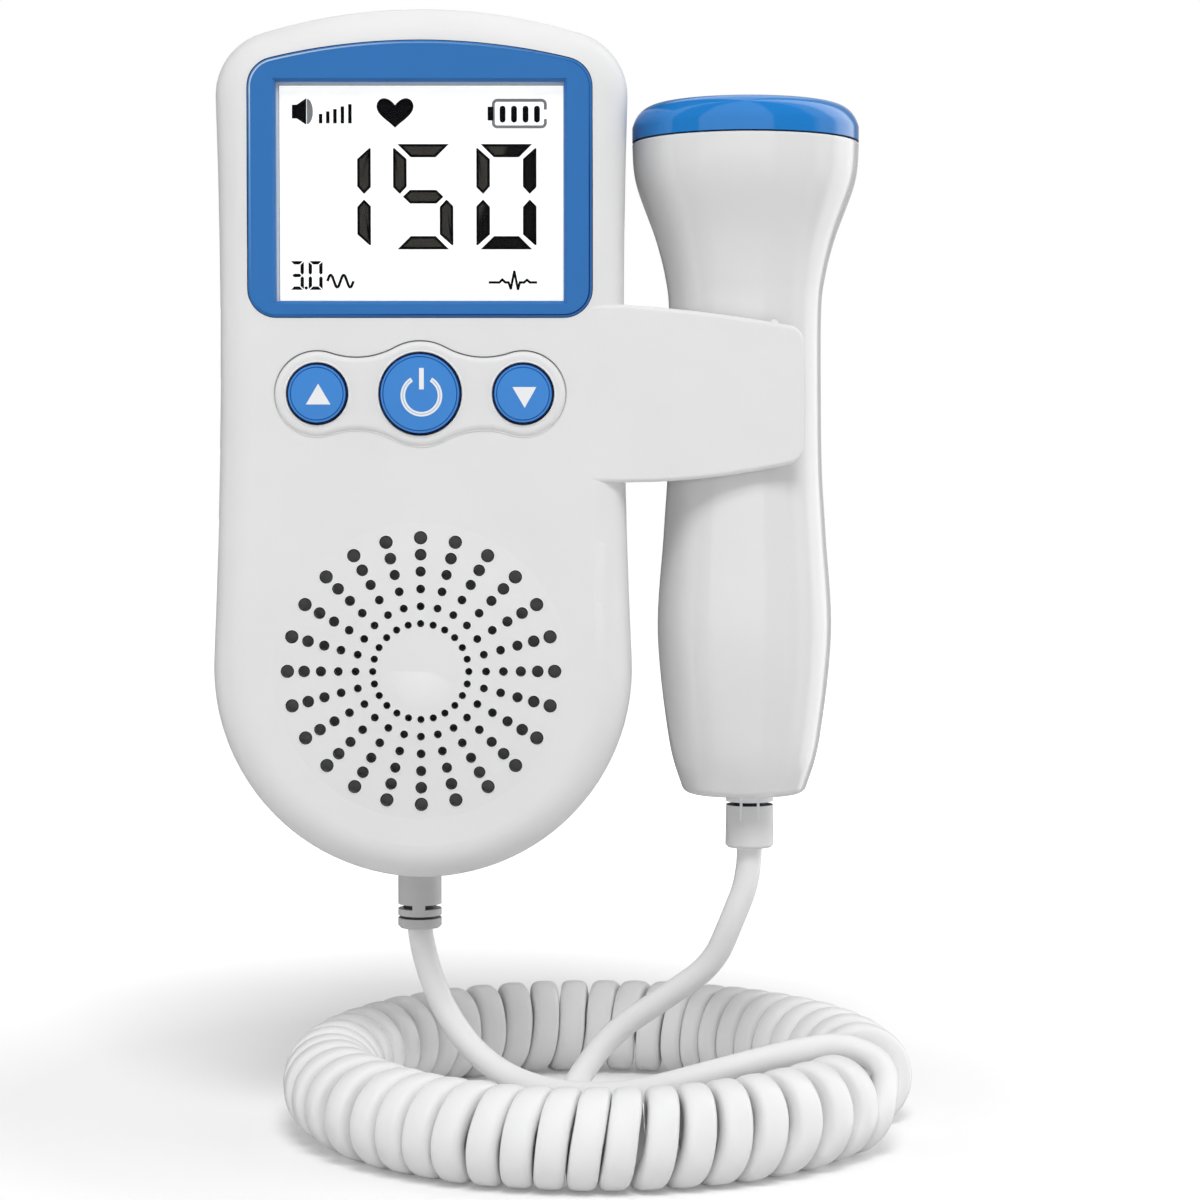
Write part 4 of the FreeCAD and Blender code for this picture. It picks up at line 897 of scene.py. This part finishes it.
def plate(outline, low, high, finish, inner_finish=None, rim=0.0, rise=0.0):
    """A flat plate with this outline.  Inside a rim, its front has a second finish."""
    deselect()
    bpy.ops.mesh.primitive_circle_add(vertices=len(outline), fill_type="NGON")
    piece = bpy.context.object
    for vertex, (x, z) in zip(piece.data.vertices, outline):
        vertex.co = Vector((x, z, low)) * MM
    bpy.ops.object.mode_set(mode="EDIT")
    bpy.ops.mesh.select_all(action="SELECT")
    bpy.ops.mesh.normals_make_consistent(inside=False)
    bpy.ops.mesh.extrude_region_move(TRANSFORM_OT_translate={"value": (0, 0, (high - low) * MM)})
    if inner_finish:
        bpy.ops.mesh.inset(thickness=rim * MM, depth=rise * MM)
    bpy.ops.object.mode_set(mode="OBJECT")
    dress(piece, *([finish, inner_finish] if inner_finish else [finish]))
    for face in piece.data.polygons:
        face.material_index = 1 if inner_finish and face.select else 0
    face_outwards(piece)
    return piece


def joined(name, pieces):
    deselect()
    for piece in pieces:
        piece.select_set(True)
    bpy.context.view_layer.objects.active = pieces[0]
    bpy.ops.object.join()
    piece = bpy.context.object
    piece.name = name
    return piece


def disc(x, z, radius, sides=32, start=0.0, sweep=360.0):
    """Points on a circle or on part of one, in degrees."""
    count = sides if sweep == 360.0 else sides + 1
    return [(x + radius * math.cos(math.radians(start + sweep * i / sides)),
             z + radius * math.sin(math.radians(start + sweep * i / sides))) for i in range(count)]


def bar(x, width, bottom, top):
    return [(x - width / 2, bottom), (x + width / 2, bottom), (x + width / 2, top), (x - width / 2, top)]


def pill(x, width, bottom, top):
    """A bar with round ends."""
    return (disc(x, top - width / 2, width / 2, 8, 0, 180)
            + disc(x, bottom + width / 2, width / 2, 8, 180, 180))


def strokes(points, width):
    """The outlines of straight strokes from point to point, each a little longer than its run."""
    outlines = []
    for a, b in zip(points, points[1:]):
        a, b = Vector(a), Vector(b)
        way = (b - a).normalized() * width / 2
        across = Vector((-way.y, way.x))
        outlines.append([tuple(p) for p in (a - way * 0.6 + across, a - way * 0.6 - across,
                                            b + way * 0.6 - across, b + way * 0.6 + across)])
    return outlines


def polyline(points, width):
    """The outline of a smooth line of this width through the points."""
    sides = []
    for index, point in enumerate(points):
        before = Vector(points[max(0, index - 1)])
        after = Vector(points[min(len(points) - 1, index + 1)])
        way = (after - before).normalized()
        sides.append((Vector(point), Vector((-way.y, way.x)) * width / 2))
    return [tuple(p + s) for p, s in sides] + [tuple(p - s) for p, s in reversed(sides)]


# %% [markdown]
# ## Buttons
# Each button is a flat-topped cap with a fine groove inside its edge.  It stands on a stem, behind a
# flange that keeps it in its hole.  Its side is in the shade of the hole, and that shade is painted on
# it as a deep navy; the shade in its groove is painted a darker blue.

# %% Three buttons
BUTTON_HEIGHT = 42.7
BUTTON_FRONT = 35.2
BUTTONS = {
    # name: (x, radius)
    "volume_up": (-15.8, 4.62),
    "power": (0.0, 6.25),
    "volume_down": (15.8, 4.62),
}
BUTTON_EDGE = 0.30
BUTTON_BOW = 0.12               # how far the middle of the top stands above its edge
GROOVE_IN, GROOVE_WIDTH, GROOVE_DEPTH = 0.66, 0.16, 0.10
# the navy of the side, and of this rim over its edge, is painted shade
NAVY_SHADE_RIM = 0.24                 # how far the navy of the side comes over the edge
FLANGE_FRONT, FLANGE_THICK = 31.95, 0.8
STEM_RADIUS = 1.6


def button_rows(radius, inner_front, flange_reach, flange_thick, stem, back):
    groove = radius - GROOVE_IN
    rows = [(stem, back), (stem, inner_front - flange_thick),
            (radius + flange_reach, inner_front - flange_thick),
            (radius + flange_reach, inner_front), (radius, inner_front)]
    rows += arc((radius - BUTTON_EDGE, BUTTON_FRONT - BUTTON_BOW - BUTTON_EDGE), BUTTON_EDGE, 0, 75, 5)
    top = [
        # radius, and how far below the top of the button
        (groove + GROOVE_WIDTH, 0.09), (groove + GROOVE_WIDTH / 2, 0.09 + GROOVE_DEPTH), (groove, 0.08),
        (groove * 0.75, 0.04), (groove * 0.4, 0.01), (0.4, 0.0),
    ]
    return rows + [(reach, BUTTON_FRONT - below) for reach, below in top]


for name, (x, radius) in BUTTONS.items():
    low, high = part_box(name + "_button")
    back = -high.y / MM
    flange = (high.x - low.x) / MM / 2
    rows = button_rows(radius, FLANGE_FRONT, flange - radius, FLANGE_THICK, STEM_RADIUS, back)
    piece = turned(name + "_button_look", rows, (x, BUTTON_HEIGHT), sides=80)
    stand_up(piece)
    smooth(piece, 25)
    dress(piece, "button_blue", "navy_painted_shade", "button_groove_painted_shade")
    # the side and a rim over its edge take the painted navy shade, and the groove its painted darker blue
    for face in piece.data.polygons:
        reach = math.hypot(face.center.x / MM - x, face.center.z / MM - BUTTON_HEIGHT)
        if reach > radius - NAVY_SHADE_RIM:
            face.material_index = 1
        elif radius - GROOVE_IN < reach < radius - GROOVE_IN + GROOVE_WIDTH:
            face.material_index = 2
    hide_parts(name + "_button")
    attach(piece, name)
    tell(piece)

# %% [markdown]
# The signs on the buttons are white and stand a hair's breadth proud: a triangle up, a triangle down,
# and the ring and stroke of a power switch.  They ride on their own buttons.

# %% Signs on the buttons
SIGN_LOW, SIGN_HIGH = 35.10, 35.225
POWER_RING = (3.2, 2.5)         # outer and inner radius
POWER_GAP = 31.0                # degrees to either side of the top
POWER_MIDDLE = (0.24, 42.4)


def button_sign(outline, rim=0.0):
    return plate(outline, SIGN_LOW, SIGN_HIGH, "icon_white", "icon_line" if rim else None, rim)


outer, inner = POWER_RING
ring_outline = (disc(*POWER_MIDDLE, outer, 48, 90 + POWER_GAP, 360 - 2 * POWER_GAP)
                + disc(*POWER_MIDDLE, inner, 48, 90 - POWER_GAP, 2 * POWER_GAP - 360))
SIGNS = {
    # body: the sign's plates
    "volume_up": [button_sign([(-15.57, 44.23), (-17.47, 41.04), (-13.70, 41.04)])],
    "volume_down": [button_sign([(14.18, 43.71), (17.87, 43.71), (16.06, 40.52)])],
    "power": [button_sign(ring_outline, 0.26), button_sign(bar(0.25, 0.72, 43.35, 46.63))],
}
for body, plates in SIGNS.items():
    sign = joined(body + "_sign", plates)
    stand_up(sign)
    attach(sign, body)
    tell(sign)

# %% [markdown]
# ## The display's figures
# Large figures are made of seven bars each.  A bar has mitred or pointed ends, with a gap to its
# neighbours, and its middle is a little raised, and lighter than its rim where the painted reflection
# lies.  Which bars are dark makes the number.  A picture on the plate would do too, but thin plates
# stay sharp however near one looks.

# %% Seven bars
FIGURE_LOW, FIGURE_HIGH = 31.70, 31.74
FIGURE_WIDTH, FIGURE_BOTTOM, FIGURE_TOP = 9.25, 64.98, 81.10
BAR_THICK = 2.08
BAR_GAP = 0.42
GLOSS_RIM, GLOSS_RISE = 0.38, 0.02
MITRE = 0.32                    # of a bar's thickness, how far a mitre starts from the corner
BARS_OF = {"0": "abcdef", "1": "bc", "3": "abcdg", "5": "acdfg"}
LARGE_FIGURES = [("1", -7.68 - FIGURE_WIDTH), ("5", -4.24), ("0", 8.57)]


def seven_bars(x, bottom, width, height, thick, gap):
    """The outlines of the seven bars of one figure, by their usual letters."""
    right, top, middle = x + width, bottom + height, bottom + height / 2
    end = thick * MITRE
    left_side = [(x, middle + thick * 0.5 + gap), (x, top - end),
                 (x + thick * 0.1, top - end + thick * 0.02), (x + thick, top - end - thick * 0.78),
                 (x + thick, middle + thick * 0.55 + gap), (x + thick / 2, middle + gap)]
    upper_bar = [(x + end, top), (right - end, top), (right - end - thick * 0.98, top - thick * 0.97),
                 (x + end + thick * 0.98, top - thick * 0.97)]
    half = thick / 2
    centre_bar = [(x + thick * 0.72, middle), (x + thick * 1.25, middle + half),
                  (right - thick * 1.25, middle + half), (right - thick * 0.72, middle),
                  (right - thick * 1.25, middle - half), (x + thick * 1.25, middle - half)]

    def across(outline):
        return [(x + right - a, b) for a, b in outline]

    def down(outline):
        return [(a, 2 * middle - b) for a, b in outline]

    return {"a": upper_bar, "d": down(upper_bar), "f": left_side, "b": across(left_side),
            "e": down(left_side), "c": across(down(left_side)), "g": centre_bar}


def figure(sign, x, bottom, width, height, thick, gap, glossed=False):
    bars = seven_bars(x, bottom, width, height, thick, gap)
    # a glossed figure's raised middle takes the painted reflection
    return [plate(bars[letter], FIGURE_LOW, FIGURE_HIGH, "ink_black",
                  "ink_painted_reflection" if glossed else None, GLOSS_RIM, GLOSS_RISE) for letter in BARS_OF[sign]]


figures = []
for sign, x in LARGE_FIGURES:
    figures += figure(sign, x, FIGURE_BOTTOM, FIGURE_WIDTH, FIGURE_TOP - FIGURE_BOTTOM,
                      BAR_THICK, BAR_GAP, glossed=True)
figures = joined("display_figures", figures)
stand_up(figures)
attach(figures, "unit")
tell(figures)

# %% [markdown]
# ## Small signs of the display
# Above the figures stand a loudspeaker with five rising bars, a heart, and a battery with four full
# cells.  Below them are a small number with a wave, and the trace of a pulse.  Each is an outline,
# worked out where it is a curve, that is made a thin plate and joined to the others of its colour.

# %% Outlines of the signs
HEART = (-3.91, 83.56, 5.69, 4.56)                          # x, height of the point, width, height
HORN = [(-19.76, 87.11), (-19.01, 87.11), (-17.55, 88.12), (-17.57, 84.04), (-19.02, 85.01),
        (-19.77, 85.01)]
HALF_ROUND_PLACE, HALF_ROUND_SIZE = (-17.46, 86.06), (0.92, 1.93)
SOUND_BAR_WIDTH, SOUND_BAR_FOOT = 0.53, 84.26
SOUND_BARS = [(-15.36, 85.71), (-14.25, 86.10), (-13.15, 86.45), (-12.00, 86.85), (-10.85, 87.20)]
CELL_BARS = [12.62, 14.38, 16.15, 17.91]
CELL_BAR = (0.90, 84.38, 86.96)                             # width, foot and top
BATTERY_TIP = (10.76, 0.88, 84.70, 86.80)                   # x, width, foot and top
BATTERY_FRAME = (11.20, 19.20, 83.72, 87.78, 0.6, 0.46)     # its box, corner radius and stroke
FRAME_OPENING = (84.92, 86.37)
SMALL_FIGURES = [("3", -20.18), ("0", -17.30)]
SMALL_FIGURE = (58.77, 2.15, 4.40, 0.52, 0.10)              # foot, width, height, thickness and gap
POINT = (-17.68, 59.05, 0.25)                               # x, height and radius
WAVE = (-14.4, -10.4, 60.1, 0.95, 0.40)                     # from, to, middle, reach and stroke
PULSE_WIDTH = 0.36


def heart_outline():
    x, foot, width, height = HEART
    points = []
    for step in range(40):
        angle = 2 * math.pi * step / 40
        across = 16 * math.copysign(abs(math.sin(angle)) ** 2.2, math.sin(angle))
        up = 13 * math.cos(angle) - 5 * math.cos(2 * angle) - 2 * math.cos(3 * angle) - math.cos(4 * angle)
        points.append((x + across * width / 32, foot + (up + 17) * height / 29))
    return points


def rounded_frame(x0, x1, z0, z1, radius, stroke):
    """A stroke round a box that leaves a gap in the middle of its right side."""
    gap_low, gap_high = FRAME_OPENING
    line = [(x1, gap_high)]
    for cx, cz, start in ((x1 - radius, z1 - radius, 0), (x0 + radius, z1 - radius, 90),
                          (x0 + radius, z0 + radius, 180), (x1 - radius, z0 + radius, 270)):
        line += disc(cx, cz, radius, 6, start, 90)
    return polyline(line + [(x1, gap_low)], stroke)


PULSE = [(10.55, 59.9), (12.1, 59.9), (12.55, 60.35), (13.0, 59.9), (13.5, 59.9), (13.85, 58.95),
         (14.4, 61.6), (14.95, 58.85), (15.25, 59.9), (15.9, 59.9), (16.35, 60.3), (16.8, 59.9), (17.8, 59.9)]


def wave(x0, x1, z, height, width):
    steps = 36
    return polyline([(x0 + (x1 - x0) * i / steps, z + height * math.sin(4 * math.pi * i / steps))
                     for i in range(steps + 1)], width)


# %% Signs of the display
def ink(outline, finish="ink_black"):
    return plate(outline, FIGURE_LOW, FIGURE_HIGH, finish)


half_round = [(HALF_ROUND_PLACE[0] + HALF_ROUND_SIZE[0] * math.cos(math.radians(angle)),
               HALF_ROUND_PLACE[1] + HALF_ROUND_SIZE[1] * math.sin(math.radians(angle)))
              for angle in range(-90, 91, 15)]
dark = [ink(HORN), ink(heart_outline())]
dark += [ink(bar(x, SOUND_BAR_WIDTH, SOUND_BAR_FOOT, top)) for x, top in SOUND_BARS]
dark += [ink(pill(x, *CELL_BAR)) for x in CELL_BARS] + [ink(bar(*BATTERY_TIP))]
for sign, x in SMALL_FIGURES:
    dark += figure(sign, x, *SMALL_FIGURE)
dark += [ink(disc(*POINT, 12)), ink(wave(*WAVE))]
dark += [ink(outline) for outline in strokes(PULSE, PULSE_WIDTH)]
grey = [ink(half_round, "ink_grey"), ink(rounded_frame(*BATTERY_FRAME), "ink_grey")]
for name, pieces in (("display_signs", dark), ("display_grey_signs", grey)):
    signs = joined(name, pieces)
    stand_up(signs)
    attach(signs, "unit")
    tell(signs)

# %% [markdown]
# ## Fine lines of the front
# A hairline groove runs round the raised pad, dark along its upper side, where the light comes over
# it, and lost in the light below.  It could be carved into the housing, but that is a solid of the
# frame and stays as it is.  A thin round line half sunk in the surface looks the same, and its colour
# is painted shade that follows its height.

# %% Groove round the pad
LOBES = (15.8, 6.77, 8.3, 12.0)     # place and radius of the side lobes, radius of the middle, of a hollow
PAD_GROOVE_RADIUS = 0.105
PAD_GROOVE_INSET = 0.16
PAD_GROOVE_FADE = (36.5, 48.0)      # height where it is lost in the light, and where it is dark
PAD_GROOVE_SHADES = (0.80, 0.12)


def pad_outline():
    """Three lobes joined by hollow curves, as points round the middle button."""
    place, side, middle, hollow = LOBES
    side, middle, hollow = side - PAD_GROOVE_INSET, middle - PAD_GROOVE_INSET, hollow + PAD_GROOVE_INSET
    a, b = middle + hollow, side + hollow
    x = (a * a - b * b + place * place) / (2 * place)
    z = math.sqrt(a * a - x * x)
    from_middle = math.degrees(math.atan2(z, x))
    from_side = math.degrees(math.atan2(z, x - place))
    quarter = disc(place, 0, side, 24, 0, from_side)
    quarter += disc(x, z, hollow, 12, from_side - 180, from_middle - from_side)[1:]
    quarter += disc(0, 0, middle, 16, from_middle, 90 - from_middle)[1:]
    half = quarter + [(-u, v) for u, v in reversed(quarter[:-1])]
    return half + [(u, -v) for u, v in reversed(half[1:-1])]


def painted_groove_shade_finish():
    """Painted shade: grey above the buttons, and the housing's own white below them."""
    material, nodes, links, shader, place = new_material("groove_painted_shade")
    height = nodes.new("ShaderNodeSeparateXYZ")
    links.new(place, height.inputs[0])
    below, above = ((level, level, level) for level in PAD_GROOVE_SHADES)
    links.new(ramp(nodes, links, height.outputs["Z"], below, above,
                   *(level * MM for level in PAD_GROOVE_FADE)), shader.inputs["Base Color"])
    links.new(ramp(nodes, links, noise(nodes, links, place, 350.0), 0.45, 0.55), shader.inputs["Roughness"])
    return material


FINISHES["groove_painted_shade"] = painted_groove_shade_finish()


def fine_line(name, outline, height, radius, finish):
    """A thin round line along a closed outline, at this height of the front."""
    data = bpy.data.curves.new(name, "CURVE")
    data.dimensions = "3D"
    data.bevel_depth = radius * MM
    data.bevel_resolution = 1
    spline = data.splines.new("POLY")
    spline.points.add(len(outline) - 1)
    for point, (x, z) in zip(spline.points, outline):
        point.co = (x * MM, -height * MM, z * MM, 1)
    spline.use_cyclic_u = True
    line = bpy.data.objects.new(name, data)
    bpy.context.scene.collection.objects.link(line)
    make_active(line)
    bpy.ops.object.convert(target="MESH")
    line = bpy.context.object
    bpy.ops.object.shade_smooth()
    dress(line, finish)
    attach(line, "unit")
    tell(line)


PAD_LINE_HEIGHT = 34.03
# a round line whose painted shade stands for the groove's
fine_line("pad_groove_shade_line", [(x, BUTTON_HEIGHT + z) for x, z in pad_outline()], PAD_LINE_HEIGHT,
          PAD_GROOVE_RADIUS, "groove_painted_shade")

# %% [markdown]
# The blue frame sits in its seat, and the shade of the gap round it is painted as a dark hairline.
# Its rounded edge catches the light along the top and the left, and falls into shade along the right
# and the bottom.  A second fine line stands for that edge: its colour, set by its place, is a painted
# highlight at the upper left and painted navy shade at the lower right.

# %% Lines round the frame
FRAME_HALF, FRAME_BOTTOM, FRAME_TOP_CORNER, FRAME_BOTTOM_CORNER = 26.35, 54.45, 4.5, 4.3
FRAME_CROWN = (98.0, -1.4)      # radius of the bowed top, and the height of its middle
FRAME_LINES = [
    # name, inset, height, radius, finish
    # painted highlight at the upper left and painted navy shade at the lower right
    ("frame_edge_line", 0.36, 34.235, 0.13, "painted_frame_light"),
    # the gap's shade, painted as a navy hairline
    ("frame_gap_shade_line", -0.06, 33.92, 0.11, "navy_painted_shade"),
]


def frame_outline(inset):
    """The blue frame's outline, drawn in by an inset."""
    crown_reach, crown_middle = FRAME_CROWN
    x = FRAME_HALF - FRAME_TOP_CORNER
    rise = math.sqrt((crown_reach - FRAME_TOP_CORNER) ** 2 - x * x)
    turn = math.degrees(math.atan2(rise, x))
    half = disc(FRAME_HALF - FRAME_BOTTOM_CORNER, FRAME_BOTTOM + FRAME_BOTTOM_CORNER,
                FRAME_BOTTOM_CORNER - inset, 10, -90, 90)
    half += disc(x, crown_middle + rise, FRAME_TOP_CORNER - inset, 10, 0, turn)
    half += disc(0, crown_middle, crown_reach - inset, 12, turn, 90 - turn)[1:]
    return half + [(-u, v) for u, v in reversed(half[:-1])]


EDGE_SLANT = (26.0, 20.0)       # a step to the right and a step down that count the same
EDGE_ENDS = (-5.75, -1.75)      # the steps at which the first and the last colour lie
EDGE_COLOURS = [
    # from the painted highlight at the upper left to the painted navy shade at the lower right
    (0.0, (0.62, 0.70, 0.80)), (0.22, (0.16, 0.36, 0.66)), (0.5, (0.018, 0.155, 0.455)),
    (0.75, (0.004, 0.040, 0.190)), (1.0, (0.004, 0.030, 0.160)),
]


def edge_line():
    """A painted highlight at the upper left, the frame's blue between, and painted navy shade at the lower
    right.
    """
    material, nodes, links, shader, place = new_material("painted_frame_light")
    parts = nodes.new("ShaderNodeSeparateXYZ")
    links.new(place, parts.inputs[0])
    right, down = EDGE_SLANT
    lower_right = math_node(nodes, links, "SUBTRACT",
                            math_node(nodes, links, "DIVIDE", parts.outputs["X"], right * MM),
                            math_node(nodes, links, "DIVIDE", parts.outputs["Z"], down * MM))
    stops = nodes.new("ShaderNodeValToRGB")
    links.new(ramp(nodes, links, lower_right, 0.0, 1.0, *EDGE_ENDS), stops.inputs[0])
    while len(stops.color_ramp.elements) < len(EDGE_COLOURS):
        stops.color_ramp.elements.new(0.5)
    for element, (position, colour) in zip(stops.color_ramp.elements, EDGE_COLOURS):
        element.position = position
        element.color = (*colour, 1)
    links.new(stops.outputs[0], shader.inputs["Base Color"])
    links.new(ramp(nodes, links, noise(nodes, links, place, 350.0), 0.3, 0.4), shader.inputs["Roughness"])
    shader.inputs["Specular IOR Level"].default_value = 0.2
    return material


FINISHES["painted_frame_light"] = edge_line()
for name, inset, height, radius, finish in FRAME_LINES:
    fine_line(name, frame_outline(inset), height, radius, finish)

# %% [markdown]
# Inside the frame, the clear plate's edge has a painted highlight: a pale strip along the top and the
# left, narrow along the right and the bottom, with a fine line of painted grey shade where the polished
# face begins.

# %% Painted light on the clear plate's edge
PLATE_HALF, PLATE_BOTTOM, PLATE_TOP = 22.1, 56.9, 90.4
EDGE_LOW, EDGE_HIGH = 32.72, 32.80
PLATE_EDGE_HIGHLIGHT = (0.42, 0.12)           # width along the top and left, and along the right and bottom
PLATE_EDGE_SHADE_LINE = (0.09, 0.02)        # the fine line's width along those sides


def inner_frame(wide, narrow, x0, x1, z0, z1):
    """Four strips inside a box: wide along its left and top, narrow along its right and bottom."""
    return [[(x0, z0), (x0 + wide, z0 + narrow), (x0 + wide, z1 - wide), (x0, z1)],
            [(x0, z1), (x0 + wide, z1 - wide), (x1 - narrow, z1 - wide), (x1, z1)],
            [(x1, z1), (x1 - narrow, z1 - wide), (x1 - narrow, z0 + narrow), (x1, z0)],
            [(x1, z0), (x1 - narrow, z0 + narrow), (x0 + wide, z0 + narrow), (x0, z0)]]


wide, narrow = PLATE_EDGE_HIGHLIGHT
# the pale strips are a painted highlight
strips = [plate(outline, EDGE_LOW, EDGE_HIGH, "plate_edge_painted_light")
          for outline in inner_frame(wide, narrow, -PLATE_HALF, PLATE_HALF, PLATE_BOTTOM, PLATE_TOP)]
# the fine grey line is painted shade
strips += [plate(outline, EDGE_LOW, EDGE_HIGH, "ink_grey")
           for outline in inner_frame(*PLATE_EDGE_SHADE_LINE, wide - PLATE_HALF, PLATE_HALF - narrow,
                                      PLATE_BOTTOM + narrow, PLATE_TOP - wide)]
strips = joined("window_edge_painted_light", strips)
stand_up(strips)
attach(strips, "unit")
tell(strips)

# %% [markdown]
# The buttons' holes have small rounded lips, which catch the light as a bright ring round each navy
# gap of painted shade; their whiter finish adds a painted highlight.  A lip is a circle pulled up and
# round through a few rows, whose last row is bridged to the first, so that it is a closed ring.  The
# strain reliefs and the grille use the same helper.

# %% Lips of the buttons' holes
LIP_ROWS = [(0.17, 34.2), (0.17, 34.53), (0.24, 34.60), (0.36, 34.60), (0.46, 34.53), (0.50, 34.2)]


def turned_ring(name, rows, centre, sides):
    """A ring through (radius, height) rows, closed from the last row to the first."""
    deselect()
    bpy.ops.mesh.primitive_circle_add(vertices=sides, radius=rows[0][0] * MM, fill_type="NOTHING",
                                      location=(centre[0] * MM, centre[1] * MM, rows[0][1] * MM))
    piece = bpy.context.object
    piece.name = name
    bpy.ops.object.mode_set(mode="EDIT")
    bpy.ops.mesh.select_all(action="SELECT")
    for (old, low), (new, high) in zip(rows, rows[1:]):
        bpy.ops.mesh.extrude_region_move(TRANSFORM_OT_translate={"value": (0, 0, (high - low) * MM)})
        bpy.ops.transform.resize(value=(new / old, new / old, 1),
                                 center_override=(centre[0] * MM, centre[1] * MM, high * MM))
    bpy.ops.mesh.select_mode(type="EDGE")
    bpy.ops.mesh.select_all(action="DESELECT")
    bpy.ops.mesh.select_non_manifold()
    bpy.ops.mesh.bridge_edge_loops()
    bpy.ops.mesh.select_mode(type="VERT")
    bpy.ops.object.mode_set(mode="OBJECT")
    bpy.ops.object.transform_apply(location=True, rotation=False, scale=False)
    face_outwards(piece)
    return piece


lips = []
for x, radius in BUTTONS.values():
    lips.append(turned_ring("lip", [(radius + step, height) for step, height in LIP_ROWS],
                            (x, BUTTON_HEIGHT), 80))
lips = joined("button_hole_lips", lips)
stand_up(lips)
smooth(lips, 60)
# the finish, whiter than the housing, adds a painted highlight to the lips
dress(lips, "icon_white")
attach(lips, "unit")
tell(lips)

# %% [markdown]
# ## Strain reliefs and grille
# The shade inside the slots of the unit's strain relief is painted on dark rings set into them.  The
# probe's has a white collar, a groove under it whose shade is painted black, and white ribs that cross
# the groove, two in front and two behind.  Each hole of the grille has a fine lip in a whiter finish,
# which adds a painted highlight, and the shade on its wall is painted on a dark ring.  The holes
# themselves belong to the frame's solids, so one rim is modelled for each ring of holes, low in faces,
# and copied to every spoke.

# %% Strain reliefs
UNIT_GLAND = (-1.4, -16.0)
SLOT_ROWS = [
    # radius, lowest and highest point of each dark ring of painted shade
    (2.62, -39.38, -38.67),
    (3.20, -40.88, -40.47),
]
SLOT_SHADE_WALL = 0.3
painted_slot_shades = []
for radius, low, high in SLOT_ROWS:
    inner = radius - SLOT_SHADE_WALL
    painted_slot_shades.append(turned_ring("slot_shade", [(inner, low), (radius, low), (radius, high), (inner, high)],
                              UNIT_GLAND, 48))
painted_slot_shades = joined("unit_relief_slot_shades", painted_slot_shades)
# black here is painted shade
dress(painted_slot_shades, "switch_black")
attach(painted_slot_shades, "unit")
tell(painted_slot_shades)

PROBE_GLAND = (51.5, -18.9)
GLAND_RADIUS = 3.75
COLLAR_FOOT, SLEEVE_TOP = -21.75, -22.30        # the dark groove lies between them
NECK_RADIUS = 2.56
GLAND_ROWS = [
    # radius, height
    (1.9, -29.1), (3.45, -29.1), (3.85, -28.7), (GLAND_RADIUS, SLEEVE_TOP), (NECK_RADIUS, SLEEVE_TOP),
    (NECK_RADIUS, COLLAR_FOOT), (GLAND_RADIUS, COLLAR_FOOT), (GLAND_RADIUS, -20.43), (2.4, -20.43),
    (2.4, -18.2),
]
RIB_PLACES = (-1.5, 1.2)
RIB_WIDTH, RIB_FOOT, RIB_TOP = 0.42, -24.6, -20.45
RIB_PROUD, RIB_DEEP = 0.04, 0.5
gland = turned("probe_relief_look", GLAND_ROWS, PROBE_GLAND, sides=64)
smooth(gland, 40)
dress(gland, "sleeve_white", "icon_white", "switch_black")
# the groove's faces take black, as painted shade
for face in gland.data.polygons:
    height = face.center.z / MM
    in_groove = SLEEVE_TOP - 0.01 < height < COLLAR_FOOT + 0.01
    face.material_index = 2 if in_groove else int(height > COLLAR_FOOT)
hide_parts("probe_strain_relief")
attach(gland, "probe")
tell(gland)
ribs = []
for x in RIB_PLACES:
    front = math.sqrt(GLAND_RADIUS ** 2 - x * x)
    for low, high in ((front - RIB_DEEP, front + RIB_PROUD), (-front - RIB_PROUD, -front + RIB_DEEP)):
        ribs.append(plate(bar(PROBE_GLAND[0] + x, RIB_WIDTH, RIB_FOOT, RIB_TOP),
                          low - PROBE_GLAND[1], high - PROBE_GLAND[1], "icon_white"))
ribs = joined("probe_relief_ribs", ribs)
stand_up(ribs)
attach(ribs, "probe")
tell(ribs)

# %% Painted shade and lips of the grille's holes
GRILLE_RINGS = [(7.4, 1.12), (10.05, 1.23), (12.72, 1.37), (15.4, 1.60), (18.0, 1.83), (20.6, 2.08)]
SPOKES = 24
DOME_RADIUS, DOME_HEIGHT, FRONT_FACE = 22.9, 0.8, 34.0
# each hole's wall gets a dark ring of painted shade, and its lip a whiter finish that adds a painted
# highlight
HOLE_SHADE_ROWS = [(-0.13, -0.45), (-0.13, -0.06), (-0.01, -0.02), (-0.01, -0.45)]
HOLE_LIP_ROWS = [(0.0, -0.1), (0.03, 0.035), (0.09, 0.035), (0.14, -0.1)]
RIM_SIDES = 14

rims = []
for reach, width in GRILLE_RINGS:
    surface = FRONT_FACE + DOME_HEIGHT * (1 - (reach / DOME_RADIUS) ** 2)
    for rows, finish in ((HOLE_SHADE_ROWS, "switch_black"), (HOLE_LIP_ROWS, "icon_white")):
        first = turned_ring("rim", [(width / 2 + step, surface + height) for step, height in rows],
                            (0.0, reach), RIM_SIDES)
        dress(first, finish)
        for spoke in range(SPOKES):
            rim = copy_of(first, "rim")
            rim.data.transform(Matrix.Rotation(2 * math.pi * spoke / SPOKES, 4, "Z"))
            rims.append(rim)
        bpy.data.objects.remove(first)
rims = joined("grille_hole_shades_and_lips", rims)
stand_up(rims)
smooth(rims, 60)
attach(rims, "unit")
tell(rims)
